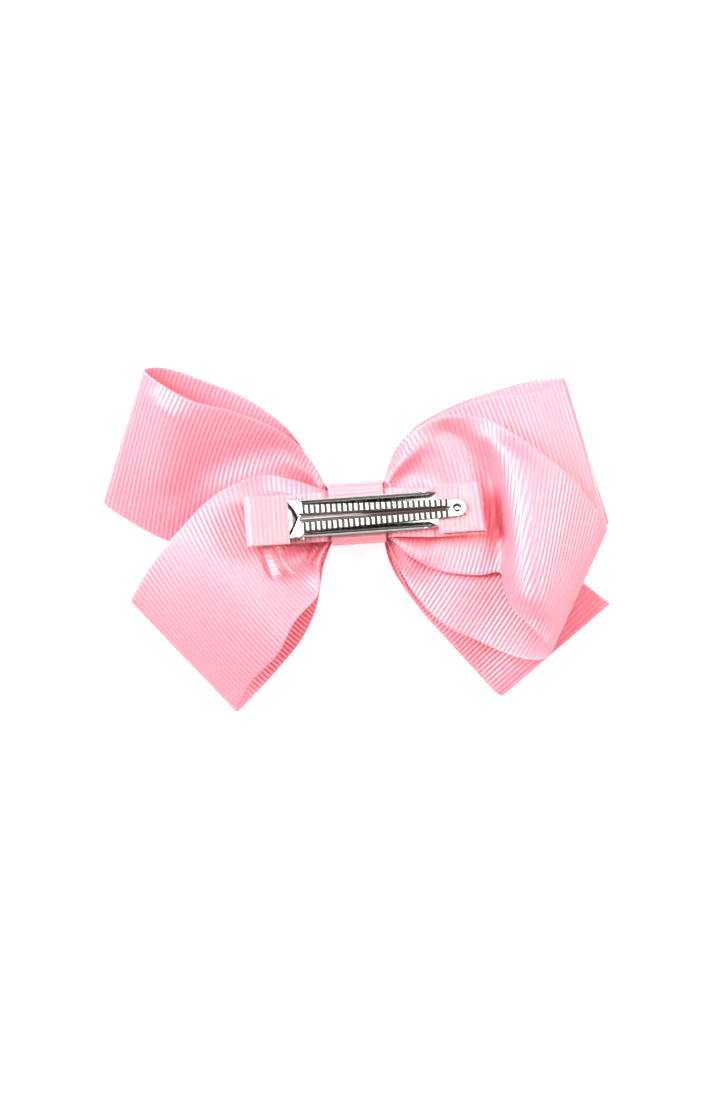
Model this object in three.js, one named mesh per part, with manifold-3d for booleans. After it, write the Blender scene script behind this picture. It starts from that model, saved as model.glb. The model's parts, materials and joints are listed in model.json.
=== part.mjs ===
// Hair bow of wide grosgrain ribbon, with a sprung toothed clip on its back.
// Millimetres. The bow lies on its front: +Z points up to the clip, +X runs along the bow and
// +Y across it. The origin is the middle of the footprint, on the surface that the bow lies on.
// Every size below is set here once. The knot's centre is the working origin until the last lines.

import * as THREE from 'three';
import { mergeVertices } from 'three/addons/utils/BufferGeometryUtils.js';
import Module from 'manifold-3d';

const wasm = await Module();
wasm.setup();

// ---- driving dimensions ----

const GAP = 0.3;                 // left between pieces that lie against each other

const ribbonWidth = 38;          // wide grosgrain of the loops
const ribbonThickness = 0.6;
const loopScale = ribbonWidth / 38;  // the loops below are drawn for a 38 mm ribbon
const loopSteps = 3;             // slices between two stations of a loop
const loopSlices = 6;            // slices across the ribbon

const knotLength = 13.4;         // along the bow
const knotHeight = 14.1;         // across the bow
const layerPitch = 1.2;          // one gathered layer of ribbon in the knot
const knotLayers = 6;
const waistDepth = 0.8;          // how far the binding thread pulls the knot in, each side
const waistLength = 4;
const gatheredWidth = 11.5;      // a loop's ribbon where it enters the knot
const knotTilt = 4;              // degrees: knot, wrap, band and clip sit slightly turned

const threadRadius = 0.25;
const threadTurns = 3;
const threadPitch = 0.8;

const narrowThickness = 0.5;     // narrow grosgrain of wrap and band
const wrapWidth = 13.3;
const wrapLap = 0.42 * knotHeight;   // the wrap's end lies over its start by this much
const wrapCorner = 2;
const bandWidth = 12;
const bandFrontCut = 34;         // from the hinge pin to the band's cut end in the clip's mouth
const bandRearCut = 3;           // from the hinge pin back to its cut end on the lever

const sheet = 0.45;              // pressed steel of arm and jaw
const armWidth = 9.2;
const armReach = 45.3;           // hinge pin to the arm's tip
const armTab = 12.3;             // hinge pin to the end of the arm's squeeze tab
const flangeEnd = 34;            // hinge pin to the end of the side flanges
const flangeTaper = 4;
const armTipWidth = 7;
const pinFromKnot = 14;          // the pin lies this far from the knot's centre, along the clip
const clipOffset = -0.5;         // the clip's middle line against the knot's, across the bow

const jawReach = 41;             // hinge pin to the jaw's tip
const jawRootWidth = 9.2;
const jawRoot = 2.4;             // hinge pin to where the root has narrowed to the prong
const jawWidth = 6.8;            // prong beside its root
const jawTipWidth = 4.4;
const jawHole = 0.85;            // radius of the hole in the tip
const leverLength = 10.5;
const leverBend = 2;             // hinge pin to the bend of the lever
const leverAngle = 22;           // degrees that the lever rises from the jaw
const earWidth = 2.2;
const teeth = 26;                // in each row
const toothRow = 1.75;           // width of a row
const toothRise = 0.35;
const toothStart = 2.6;
const toothEnd = 36.6;
const grooveWidth = 1.4;         // smooth strip between the rows, at the root

const pinRadius = 0.6;
const pinClearance = 0.1;
const cheekRadius = 1.05;        // rounded cheeks round the pin
const springWire = 0.2;          // radius
const springCoil = 0.95;         // radius of its middle line
const springTurns = 5;
const springPitch = 0.75;
const springLeg = 6.5;

// ---- heights that follow from them ----

const rad = THREE.MathUtils.degToRad;
const knotDepth = layerPitch * knotLayers;
const rootReach = knotLength / 2 + 2 * GAP;
const coilOuter = springCoil + springWire;
const runClearance = 0.15;                         // spring to floor and to jaw
const floorTop = -(coilOuter + runClearance);      // arm's floor, from the pin's axis
const floorUnder = floorTop - sheet;
const plateUnder = coilOuter + runClearance;       // jaw's plate, from the pin's axis
const bandUnderWrap = knotDepth / 2 + GAP + narrowThickness / 2;
const wrapBack = bandUnderWrap + narrowThickness + GAP;
const lapBack = wrapBack + narrowThickness + GAP;
const pinHeight = lapBack + narrowThickness / 2 + GAP - floorUnder;

// ---- materials ----

const pinkRibbon = material(0xffbcd0, 0.8, 0);
const paleRibbon = material(0xffd5e1, 0.8, 0);
const nickel = material(0xd9dadd, 0.18, 1);
const springSteel = material(0x9a9ca0, 0.35, 1);
const thread = material(0xffe6ee, 0.9, 0);
const glue = material(0xf2eee6, 0.5, 0);

function material(color, roughness, metalness) {
  return new THREE.MeshStandardMaterial({ color, roughness, metalness });
}

// ---- solids ----

/** A geometry as a manifold solid. */
function solid(geometry) {
  const bare = geometry.clone();
  bare.deleteAttribute('normal');
  bare.deleteAttribute('uv');
  const merged = mergeVertices(bare.index ? bare.toNonIndexed() : bare, 1e-5);
  const mesh = new wasm.Mesh({
    numProp: 3,
    vertProperties: new Float32Array(merged.attributes.position.array),
    triVerts: new Uint32Array(merged.index.array),
  });
  return new wasm.Manifold(mesh);
}

/** A manifold solid as a geometry. */
function geometryOf(body) {
  const mesh = body.getMesh();
  const geometry = new THREE.BufferGeometry();
  geometry.setAttribute('position', new THREE.BufferAttribute(new Float32Array(mesh.vertProperties), 3));
  geometry.setIndex(new THREE.BufferAttribute(new Uint32Array(mesh.triVerts), 1));
  geometry.computeVertexNormals();
  return geometry;
}

/** Joins geometries into one closed body, then cuts others from it. */
function shaped(joined, cut = []) {
  let body = joined.map(solid).reduce((whole, next) => whole.add(next));
  for (const geometry of cut) {
    body = body.subtract(solid(geometry));
  }
  return geometryOf(body);
}

/** A closed thin solid on both sides of surface(along, across), both from 0 to 1. */
function thinSolid(surface, thickness, stepsAlong, stepsAcross) {
  const step = 1e-3;
  const points = [];
  for (const side of [1, -1]) {
    for (let i = 0; i <= stepsAlong; i++) {
      for (let j = 0; j <= stepsAcross; j++) {
        const u = i / stepsAlong;
        const v = j / stepsAcross;
        const du = surface(Math.min(u + step, 1), v).sub(surface(Math.max(u - step, 0), v));
        const dv = surface(u, Math.min(v + step, 1)).sub(surface(u, Math.max(v - step, 0)));
        const normal = du.cross(dv).normalize();
        points.push(surface(u, v).addScaledVector(normal, side * thickness / 2));
      }
    }
  }
  const row = stepsAcross + 1;
  const layer = row * (stepsAlong + 1);
  const faces = [];
  const quad = (a, b, c, d) => faces.push(a, b, c, a, c, d);
  for (let i = 0; i < stepsAlong; i++) {
    for (let j = 0; j < stepsAcross; j++) {
      const a = i * row + j;
      quad(a, a + row, a + row + 1, a + 1);
      quad(layer + a, layer + a + 1, layer + a + row + 1, layer + a + row);
    }
    const low = i * row;
    const high = low + stepsAcross;
    quad(low, layer + low, layer + low + row, low + row);
    quad(high, high + row, layer + high + row, layer + high);
  }
  for (let j = 0; j < stepsAcross; j++) {
    const last = stepsAlong * row + j;
    quad(j, j + 1, layer + j + 1, layer + j);
    quad(last, layer + last, layer + last + 1, last + 1);
  }
  const geometry = new THREE.BufferGeometry().setFromPoints(points);
  geometry.setIndex(faces);
  return facingOut(geometry);
}

/** Turns a closed geometry's faces outwards. */
function facingOut(geometry) {
  const index = geometry.index;
  const corner = [new THREE.Vector3(), new THREE.Vector3(), new THREE.Vector3()];
  let volume = 0;
  for (let i = 0; i < index.count; i += 3) {
    corner.forEach((c, k) => c.fromBufferAttribute(geometry.attributes.position, index.getX(i + k)));
    volume += corner[0].dot(corner[1].clone().cross(corner[2]));
  }
  if (volume < 0) {
    for (let i = 0; i < index.count; i += 3) {
      const second = index.getX(i + 1);
      index.setX(i + 1, index.getX(i + 2));
      index.setX(i + 2, second);
    }
  }
  geometry.computeVertexNormals();
  return geometry;
}

/** The outline of a line of points with a thickness, as a shape. */
function thickLine(points, thickness) {
  const sides = [[], []];
  points.forEach((point, i) => {
    const before = points[Math.max(i - 1, 0)];
    const after = points[Math.min(i + 1, points.length - 1)];
    const here = after.clone().sub(before).normalize();
    const into = i > 0 ? point.clone().sub(before).normalize() : here;
    const reach = thickness / 2 / Math.max(here.dot(into), 0.6);
    const normal = new THREE.Vector2(-here.y, here.x).multiplyScalar(reach);
    sides[0].push(point.clone().add(normal));
    sides[1].push(point.clone().sub(normal));
  });
  return new THREE.Shape([...sides[0], ...sides[1].reverse()]);
}

/** A shape in the X-Z plane, given depth along Y and centred on it. */
function standing(shape, depth, curveSegments = 6) {
  const geometry = new THREE.ExtrudeGeometry(shape, { depth, bevelEnabled: false, curveSegments });
  return geometry.translate(0, 0, -depth / 2).rotateX(Math.PI / 2);
}

/** A shape in the X-Y plane, given height from a level up. */
function lying(shape, level, height, curveSegments = 8) {
  const geometry = new THREE.ExtrudeGeometry(shape, { depth: height, bevelEnabled: false, curveSegments });
  return geometry.translate(0, 0, level);
}

/** A round bar along Y. */
function crossBar(radius, length, sides = 20) {
  return new THREE.CylinderGeometry(radius, radius, length, sides);
}

function named(name, geometry, surface) {
  const mesh = new THREE.Mesh(geometry, surface);
  mesh.name = name;
  return mesh;
}

// ---- ribbon loops ----
// A loop runs from the knot along its near layer, the one on the clip's side, round its fold and
// back along its far layer. A station is one line across the ribbon:
// [reach out of the knot's end, Y, Z, turn from the outward direction in degrees, tilt towards +Z
// in degrees, share of the ribbon's width that lies open, rise of its middle].

const loops = {
  loop_upper_left: {
    side: -1,
    nearLevel: -0.9,
    farLevel: -1.9,
    stations: [
      [5.8, 3.0, -0.8, 99, 13, 0.53, -1],
      [13.9, 4.5, -0.2, 101, 17, 0.85, -2],
      [25.8, 7.2, 0.2, 101, 20, 1, -1],
      [37.5, 10.6, 0.5, 103, 23, 1, 0.5],
      [45.9, 15.1, -0.1, 104, 23, 1, 0.5],
      [51.1, 19.2, -2.2, 109, 23, 0.98, 0],
      [47.6, 20.4, -4.3, 112, 21, 0.96, 0],
      [36.0, 15.6, -5.5, 106, 17, 1, 0],
      [24.1, 11.4, -6.0, 105, 16, 0.95, 0],
      [13.5, 7.9, -5.2, 104, 15, 0.75, 0],
      [5.6, 4.2, -4.0, 101, 13, 0.47, 0],
    ],
  },
  loop_lower_left: {
    side: -1,
    nearLevel: 2.2,
    farLevel: 0.9,
    stations: [
      [4.0, -2.4, 2.3, 76, 3, 0.52, -1.2],
      [9.2, -5.2, 2.8, 64, 0, 0.85, -2.2],
      [17.8, -11.0, 4.4, 59, -4, 0.98, 0],
      [24.5, -19.4, 5.0, 55, -2, 1, 1.2],
      [32.0, -28.0, 2.5, 49, -1, 1, 1],
      [36.0, -36.0, -2.2, 46, -1, 1, 0],
      [31.9, -32.1, -5.8, 49, -1, 1, 0],
      [23.8, -23.5, -5.5, 52, 3, 1, -0.5],
      [16.6, -15.9, -2.8, 57, 7, 0.98, -0.5],
      [9.8, -9.9, -1.1, 62, 7, 0.79, -0.5],
      [4.6, -5.0, 0.3, 73, 5, 0.51, -0.5],
    ],
  },
  loop_upper_right: {
    side: 1,
    nearLevel: 0.5,
    farLevel: -0.5,
    stations: [
      [5.2, 4.8, -0.2, 97, 3, 0.68, 0],
      [15.6, 7.0, -1.0, 96, 3, 0.94, -0.5],
      [28.1, 9.9, -2.0, 100, 3, 1, 0],
      [40.8, 12.1, -3.5, 103, 1, 1, 0.5],
      [50.5, 15.8, -7.0, 107, 0, 1, 0],
      [42.5, 15.8, -10.0, 106, -1, 0.98, 0],
      [30.6, 12.5, -9.1, 104, -4, 0.98, 0],
      [17.6, 9.1, -5.4, 98, -2, 0.91, 0],
      [6.2, 6.4, -2.2, 95, 0, 0.69, 0],
    ],
  },
  loop_lower_right: {
    side: 1,
    nearLevel: 2.5,
    farLevel: 1.5,
    stations: [
      [5.5, 3.5, 2.8, 93, 1, 0.76, -0.3],
      [13.2, 4.6, 2.5, 91, 2, 1, -0.8],
      [22.0, 4.2, 2.3, 94, 2, 1.04, -1],
      [27.1, 4.0, 2.8, 94, 3, 1, -1.5],
      [30.1, 0.4, 5.0, 88, 1, 1.04, 1],
      [34.1, -3.9, 7.5, 82, -3, 1.06, 2],
      [39.4, -8.4, 7.8, 77, -8, 1.04, 2],
      [44.1, -13.5, 5.8, 70, -15, 1, 1],
      [47.8, -19.9, 1.8, 64, -19, 0.95, 0],
      [44.6, -21.6, 0.0, 65, -16, 0.9, 0],
      [38.9, -19.8, -0.1, 68, -8, 0.92, 0],
      [30.6, -15.8, -0.6, 67, 0, 0.94, 0],
      [20.6, -12.1, -0.5, 70, 3, 0.89, 0],
      [9.6, -7.5, 0.2, 77, 4, 0.66, 0],
    ],
  },
  loop_front_right: {
    side: 1,
    nearLevel: -1.5,
    farLevel: -2.5,
    stations: [
      [5.0, -5.8, -4.3, 76, 0, 0.49, 0],
      [13.8, -12.1, -7.6, 67, 0, 0.67, 0],
      [23.4, -18.6, -8.3, 64, 0, 0.81, 0],
      [31.6, -25.2, -8.1, 60, 3, 0.88, 0],
      [38.4, -31.0, -7.3, 52, 7, 0.93, 0],
      [42.8, -34.5, -7.5, 41, 9, 0.95, 0],
      [37.9, -31.0, -9.2, 51, 6, 0.91, 0],
      [31.1, -25.5, -10.2, 60, 3, 0.87, 0],
      [22.9, -18.9, -10.2, 64, 0, 0.8, 0],
      [13.2, -12.2, -9.4, 66, 0, 0.65, 0],
      [4.5, -5.8, -6.0, 76, 0, 0.47, 0],
    ],
  },
};

/** A loop as a thin closed solid between its two selvedges. */
function ribbonLoop({ side, nearLevel, farLevel, stations }) {
  const gathered = gatheredWidth / ribbonWidth;
  const slip = side * Math.sin(rad(knotTilt)) * rootReach;
  const root = (level) => [0, slip, level * layerPitch, 90 + side * knotTilt, 0, gathered, 0];
  const scaled = stations.map(([reach, y, z, turn, tilt, share, rise]) => [
    reach * loopScale, y * loopScale, z * loopScale, turn, tilt, share, rise * loopScale,
  ]);
  const lines = [root(nearLevel), ...scaled, root(farLevel)];
  const edges = [-1, 0, 1].map((edge) => new THREE.CatmullRomCurve3(
    lines.map(([reach, y, z, turn, tilt, share, rise]) => {
      const half = edge * share * ribbonWidth / 2;
      const flat = Math.cos(rad(tilt)) * half;
      return new THREE.Vector3(
        side * (rootReach + reach + Math.cos(rad(turn)) * flat),
        y + Math.sin(rad(turn)) * flat,
        z + Math.sin(rad(tilt)) * half + (edge === 0 ? rise : 0),
      );
    }),
    false,
    'centripetal',
  ));
  const surface = (along, across) => {
    const [low, middle, high] = edges.map((curve) => curve.getPoint(along));
    const bow = 4 * across * (1 - across);
    const chord = low.clone().lerp(high, across);
    const rise = middle.sub(low.lerp(high, 0.5));
    return chord.addScaledVector(rise, bow);
  };
  return thinSolid(surface, ribbonThickness, (lines.length - 1) * loopSteps, loopSlices);
}

// ---- knot ----

/** A rounded rectangle in the Y-Z plane as points, counter-clockwise from the middle of the top. */
function roundedRing(width, height, corner, arcSteps) {
  const points = [];
  const centres = [[1, 1], [-1, 1], [-1, -1], [1, -1]];
  centres.forEach(([y, z], quarter) => {
    for (let i = 0; i <= arcSteps; i++) {
      const angle = (quarter + i / arcSteps) * Math.PI / 2;
      points.push(new THREE.Vector2(
        y * (width / 2 - corner) + Math.cos(angle) * corner,
        z * (height / 2 - corner) + Math.sin(angle) * corner,
      ));
    }
  });
  return points;
}

/** The gathered ribbon in the knot: a block with a waist. */
function gatheredKnot() {
  const places = [
    [-knotLength / 2, 0],
    [-waistLength / 2, 1],
    [waistLength / 2, 1],
    [knotLength / 2, 0],
  ];
  const rings = places.map(([x, drawn]) => {
    const height = knotHeight - 2 * waistDepth * drawn;
    const depth = knotDepth - 2 * waistDepth * drawn;
    return roundedRing(height, depth, wrapCorner, 4).map((p) => new THREE.Vector3(x, p.x, p.y));
  });
  const count = rings[0].length;
  const points = [...rings.flat(), new THREE.Vector3(-knotLength / 2), new THREE.Vector3(knotLength / 2)];
  const faces = [];
  for (let i = 0; i < count; i++) {
    const next = (i + 1) % count;
    for (let k = 0; k < rings.length - 1; k++) {
      const a = k * count;
      faces.push(a + i, a + count + i, a + count + next, a + i, a + count + next, a + next);
    }
    const last = (rings.length - 1) * count;
    faces.push(rings.length * count, i, next);
    faces.push(rings.length * count + 1, last + next, last + i);
  }
  const geometry = new THREE.BufferGeometry().setFromPoints(points);
  geometry.setIndex(faces);
  return facingOut(geometry);
}

/** A closed curve's point on a rounded rectangle that lies clear of the knot's waist. */
function waistPoint(share) {
  const clear = GAP + threadRadius;
  const height = knotHeight - 2 * waistDepth + 2 * clear;
  const depth = knotDepth - 2 * waistDepth + 2 * clear;
  const ring = roundedRing(height, depth, wrapCorner, 4);
  const at = (share % 1) * ring.length;
  const here = ring[Math.floor(at)];
  const next = ring[(Math.floor(at) + 1) % ring.length];
  return here.clone().lerp(next, at % 1);
}

/** The thread wound round the knot's waist. */
function bindingThread() {
  const steps = threadTurns * 20;
  const points = [];
  for (let i = 0; i <= steps; i++) {
    const turns = i / steps * threadTurns;
    const p = waistPoint(turns);
    points.push(new THREE.Vector3((turns - threadTurns / 2) * threadPitch, p.x, p.y));
  }
  return tube(points, threadRadius, steps, 6);
}

/** A round wire through points. */
function tube(points, radius, steps, sides) {
  const section = new THREE.Shape();
  for (let i = 0; i < sides; i++) {
    const angle = i / sides * 2 * Math.PI;
    const x = Math.cos(angle) * radius;
    const y = Math.sin(angle) * radius;
    if (i === 0) {
      section.moveTo(x, y);
    } else {
      section.lineTo(x, y);
    }
  }
  const extrudePath = new THREE.CatmullRomCurve3(points, false, 'centripetal');
  return new THREE.ExtrudeGeometry(section, { steps, extrudePath, bevelEnabled: false });
}

/** The narrow ribbon round knot and band, its end lapped over its start at the back. */
function centreWrap() {
  const clear = GAP + narrowThickness / 2;
  const left = -(knotHeight / 2 + clear);
  const right = knotHeight / 2 + clear;
  const front = -(knotDepth / 2 + clear);
  const path = new THREE.Path();
  path.moveTo(wrapLap / 2, wrapBack);
  path.lineTo(left + wrapCorner, wrapBack);
  path.absarc(left + wrapCorner, wrapBack - wrapCorner, wrapCorner, Math.PI / 2, Math.PI, false);
  path.absarc(left + wrapCorner, front + wrapCorner, wrapCorner, Math.PI, 1.5 * Math.PI, false);
  path.absarc(right - wrapCorner, front + wrapCorner, wrapCorner, -Math.PI / 2, 0, false);
  path.absarc(right - wrapCorner, lapBack - wrapCorner, wrapCorner, 0, Math.PI / 2, false);
  path.lineTo(-wrapLap / 2, lapBack);
  const geometry = standing(thickLine(distinct(path.getPoints(5)), narrowThickness), wrapWidth);
  return geometry.rotateZ(-Math.PI / 2);
}

/** Points without those that repeat the one before. */
function distinct(points) {
  return points.filter((point, i) => i === 0 || point.distanceTo(points[i - 1]) > 1e-6);
}

/** Hot-melt glue beside the wrap's lap, under the clip's arm. */
function gluePad() {
  const low = wrapLap / 2 + GAP;
  const high = knotHeight / 2 - wrapCorner;
  const shape = new THREE.Shape();
  shape.absellipse(0, (high + low) / 2, wrapWidth / 2 - 1, (high - low) / 2, 0, 2 * Math.PI);
  return lying(shape, lapBack - narrowThickness / 2, narrowThickness, 6);
}

// ---- clip, about its hinge pin: X along it to the tip, Z up from the arm's floor ----

/** The arm's floor with its squeeze tab, its side flanges and the cheeks that hold the pin. */
function clipArm() {
  const half = armWidth / 2;
  const tip = armTipWidth / 2;
  const plan = new THREE.Shape();
  plan.moveTo(-armTab, -half + 1);
  plan.absarc(-armTab + 1, -half + 1, 1, Math.PI, 1.5 * Math.PI, false);
  plan.lineTo(flangeEnd, -half);
  plan.lineTo(armReach - tip, -tip);
  plan.absarc(armReach - tip, 0, tip, -Math.PI / 2, Math.PI / 2, false);
  plan.lineTo(flangeEnd, half);
  plan.lineTo(-armTab + 1, half);
  plan.absarc(-armTab + 1, half - 1, 1, Math.PI / 2, Math.PI, false);
  const flange = new THREE.Shape();
  flange.moveTo(-cheekRadius, floorUnder);
  flange.lineTo(flangeEnd, floorUnder);
  flange.lineTo(flangeEnd, floorTop);
  flange.lineTo(flangeEnd - flangeTaper, cheekRadius);
  flange.lineTo(0, cheekRadius);
  flange.absarc(0, 0, cheekRadius, Math.PI / 2, Math.PI, false);
  const flanges = [-1, 1].map((side) => (
    standing(flange, sheet).translate(0, side * (half - sheet / 2), 0)
  ));
  const hole = crossBar(pinRadius + pinClearance, armWidth + 1);
  return shaped([lying(plan, floorUnder, sheet), ...flanges], [hole]);
}

/** The prong's outline from above, with its wide root behind and its round tip. */
function jawOutline() {
  const root = jawRootWidth / 2;
  const wide = jawWidth / 2;
  const tip = jawTipWidth / 2;
  const shape = new THREE.Shape();
  shape.moveTo(-leverBend, -root);
  shape.lineTo(jawRoot / 3, -root);
  shape.lineTo(jawRoot, -wide);
  shape.lineTo(jawReach - tip, -tip);
  shape.absarc(jawReach - tip, 0, tip, -Math.PI / 2, Math.PI / 2, false);
  shape.lineTo(jawRoot, wide);
  shape.lineTo(jawRoot / 3, root);
  shape.lineTo(-leverBend, root);
  return shape;
}

/** One row of pressed teeth: a wave in the sheet along the prong's edge. */
function toothedRow(side) {
  const pitch = (toothEnd - toothStart) / teeth;
  const wave = [];
  for (let i = 0; i <= teeth * 4; i++) {
    const rise = toothRise * Math.sin(i * Math.PI / 2);
    wave.push(new THREE.Vector2(toothStart + i * pitch / 4, sheet / 2 + rise));
  }
  const narrowing = (jawWidth - jawTipWidth) / 2 / (jawReach - jawTipWidth / 2 - jawRoot);
  const row = standing(thickLine(wave, sheet), toothRow);
  row.translate(-toothStart, 0, 0);
  row.rotateZ(-side * Math.atan(narrowing * (1 - toothRow / jawWidth)));
  return row.translate(toothStart, side * (grooveWidth / 2 + toothRow / 2), 0);
}

/** The plate's slope towards its tip, which brings the last teeth down to the lining. */
function jawSlope() {
  const lastTooth = floorTop + GAP + narrowThickness + GAP + toothRise;
  return Math.atan2(plateUnder - lastTooth, toothEnd);
}

/** The toothed prong with its root, its squeeze lever and the ears that turn on the pin. */
function clipJaw() {
  const plate = lying(jawOutline(), 0, sheet);
  const tipHole = new THREE.CylinderGeometry(jawHole, jawHole, 3 * sheet, 16);
  tipHole.rotateX(Math.PI / 2).translate(jawReach - jawTipWidth / 2, 0, 0);
  const prong = [plate, toothedRow(1), toothedRow(-1)];
  for (const piece of [...prong, tipHole]) {
    piece.rotateY(jawSlope()).translate(0, 0, plateUnder);
  }
  const bendHeight = plateUnder + Math.tan(jawSlope()) * leverBend;
  const lever = standing(thickLine([
    new THREE.Vector2(0, sheet / 2),
    new THREE.Vector2(-leverBend, bendHeight - plateUnder + sheet / 2),
    new THREE.Vector2(
      -leverBend - Math.cos(rad(leverAngle)) * leverLength,
      bendHeight - plateUnder + sheet / 2 + Math.sin(rad(leverAngle)) * leverLength,
    ),
  ], sheet), jawRootWidth);
  lever.translate(0, 0, plateUnder);
  const ear = new THREE.Shape();
  ear.moveTo(-earWidth / 2, 0);
  ear.absarc(0, 0, earWidth / 2, Math.PI, 2 * Math.PI, false);
  ear.lineTo(earWidth / 2, plateUnder + sheet / 2);
  ear.lineTo(-earWidth / 2, plateUnder + sheet / 2);
  const between = armWidth / 2 - sheet - GAP - sheet / 2;
  const ears = [-1, 1].map((side) => standing(ear, sheet).translate(0, side * between, 0));
  const hole = crossBar(pinRadius + pinClearance, armWidth + 1);
  return shaped([...prong, lever, ...ears], [tipHole, hole]);
}

/** The pin, with a peened head outside each cheek. */
function hingePin() {
  const shank = armWidth / 2 + GAP;
  const head = 0.35;
  const profile = [
    [0, -shank - head],
    [pinRadius + 0.25, -shank - head],
    [pinRadius + 0.25, -shank],
    [pinRadius, -shank],
    [pinRadius, shank],
    [pinRadius + 0.25, shank],
    [pinRadius + 0.25, shank + head],
    [0, shank + head],
  ].map(([x, y]) => new THREE.Vector2(x, y));
  return new THREE.LatheGeometry(profile, 20);
}

/** The torsion spring on the pin: one leg on the arm's tab, the other under the lever. */
function torsionSpring() {
  const sweep = Math.PI + springTurns * 2 * Math.PI;
  const length = sweep / (2 * Math.PI) * springPitch;
  const steps = Math.round(sweep / (Math.PI / 6));
  const points = [new THREE.Vector3(-springLeg, -length / 2, -springCoil)];
  for (let i = 0; i <= steps; i++) {
    const angle = -Math.PI / 2 + i / steps * sweep;
    const along = (i / steps - 0.5) * length;
    points.push(new THREE.Vector3(Math.cos(angle) * springCoil, along, Math.sin(angle) * springCoil));
  }
  points.push(new THREE.Vector3(-leverBend, length / 2, springCoil));
  points.push(new THREE.Vector3(
    -leverBend - Math.cos(rad(leverAngle)) * springLeg,
    length / 2,
    springCoil + Math.sin(rad(leverAngle)) * springLeg,
  ));
  return tube(points, springWire, steps + 10, 8);
}

/** The narrow ribbon that covers the clip: lever, underside of the arm, round its tip, mouth. */
function clipBand() {
  const clear = GAP + narrowThickness / 2;
  const bendHeight = plateUnder + Math.tan(jawSlope()) * leverBend + sheet;
  const overLever = (back) => (
    bendHeight + (back - leverBend) * Math.tan(rad(leverAngle)) + clear / Math.cos(rad(leverAngle))
  );
  const under = floorUnder - clear;
  const inMouth = floorTop + clear;
  const dip = pinHeight - bandUnderWrap;
  const rear = armTab + 2 * clear;
  const front = armReach + clear;
  const turn = (inMouth - under) / 2;
  const wrapStart = pinFromKnot - wrapWidth / 2 - GAP;
  const wrapEnd = pinFromKnot + wrapWidth / 2 + GAP;
  const slope = 1.6;
  const path = new THREE.Path();
  path.moveTo(-bandRearCut, overLever(bandRearCut));
  path.lineTo(-rear + 1, overLever(rear - 1));
  path.absarc(-rear + 1, overLever(rear - 1) - 1, 1, Math.PI / 2 + rad(leverAngle), Math.PI, false);
  path.absarc(-rear + 1, under + 1, 1, Math.PI, 1.5 * Math.PI, false);
  path.lineTo(wrapStart - slope, under);
  path.lineTo(wrapStart, -dip);
  path.lineTo(wrapEnd, -dip);
  path.lineTo(wrapEnd + slope, under);
  path.absarc(front - turn, under + turn, turn, -Math.PI / 2, Math.PI / 2, false);
  path.lineTo(bandFrontCut, inMouth);
  return standing(thickLine(distinct(path.getPoints(5)), narrowThickness), bandWidth);
}

// ---- trim from the band's lower edge, by its rear turn ----
// Each route is measured from the corner of the band: in from the turn, out from the edge, up.

const strayWidth = 1.7;
const strayRoute = [[3.7, -0.4, 0], [4.3, -3.4, -0.9], [5.2, -5.9, -0.6], [5.9, -7.9, -0.2]];
const strandRoute = [[6.7, -0.4, 0], [7.3, -3.1, -1.2], [8.6, -5.6, -1.2], [10.1, -7.3, -1.3]];

/** A route from the band's corner as points about the hinge pin. */
function fromCorner(route) {
  const under = floorUnder - GAP - narrowThickness / 2;
  return route.map(([inward, out, up]) => (
    new THREE.Vector3(inward - armTab - 2 * GAP, out - bandWidth / 2, under + up)
  ));
}

/** A frayed strip of the narrow ribbon. */
function frayedStrip() {
  const line = new THREE.CatmullRomCurve3(fromCorner(strayRoute));
  const surface = (along, across) => {
    const point = line.getPoint(along);
    point.x += (across - 0.5) * strayWidth;
    return point;
  };
  return thinSolid(surface, narrowThickness, 6, 2);
}

/** A single loose strand beside it. */
function looseStrand() {
  return tube(fromCorner(strandRoute), threadRadius, 8, 6);
}

// ---- the bow ----

const bow = new THREE.Group();
const pieces = new THREE.Group();
bow.add(pieces);

for (const [name, loop] of Object.entries(loops)) {
  pieces.add(named(name, ribbonLoop(loop), pinkRibbon));
}

const knot = new THREE.Group();
knot.rotation.z = rad(knotTilt);
knot.add(named('gathered_knot', gatheredKnot(), pinkRibbon));
knot.add(named('binding_thread', bindingThread(), thread));
knot.add(named('centre_wrap', centreWrap(), paleRibbon));
knot.add(named('glue_pad', gluePad(), glue));
pieces.add(knot);

const clip = new THREE.Group();
clip.position.set(-pinFromKnot, clipOffset, pinHeight);
clip.add(named('clip_arm', clipArm(), nickel));
clip.add(named('clip_jaw', clipJaw(), nickel));
clip.add(named('hinge_pin', hingePin(), springSteel));
clip.add(named('torsion_spring', torsionSpring(), springSteel));
clip.add(named('clip_band', clipBand(), paleRibbon));
clip.add(named('frayed_strip', frayedStrip(), paleRibbon));
clip.add(named('loose_strand', looseStrand(), thread));
knot.add(clip);

const box = new THREE.Box3().setFromObject(bow);
const middle = box.getCenter(new THREE.Vector3());
pieces.position.set(-middle.x, -middle.y, -box.min.z);

export default bow;
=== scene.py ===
"""Hair bow of pink grosgrain ribbon with a toothed alligator clip on its back.

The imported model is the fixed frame: metres, +Z up, the bow lying on its front. Every ribbon is
built here as a woven strip that follows its CAD solid, and the clip as pressed nickel-plated steel.
"""

from __future__ import annotations

import json
import logging
import math
from dataclasses import dataclass
from enum import Enum
from typing import Sequence

import bpy
import numpy as np
from mathutils import Matrix, Vector

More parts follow.
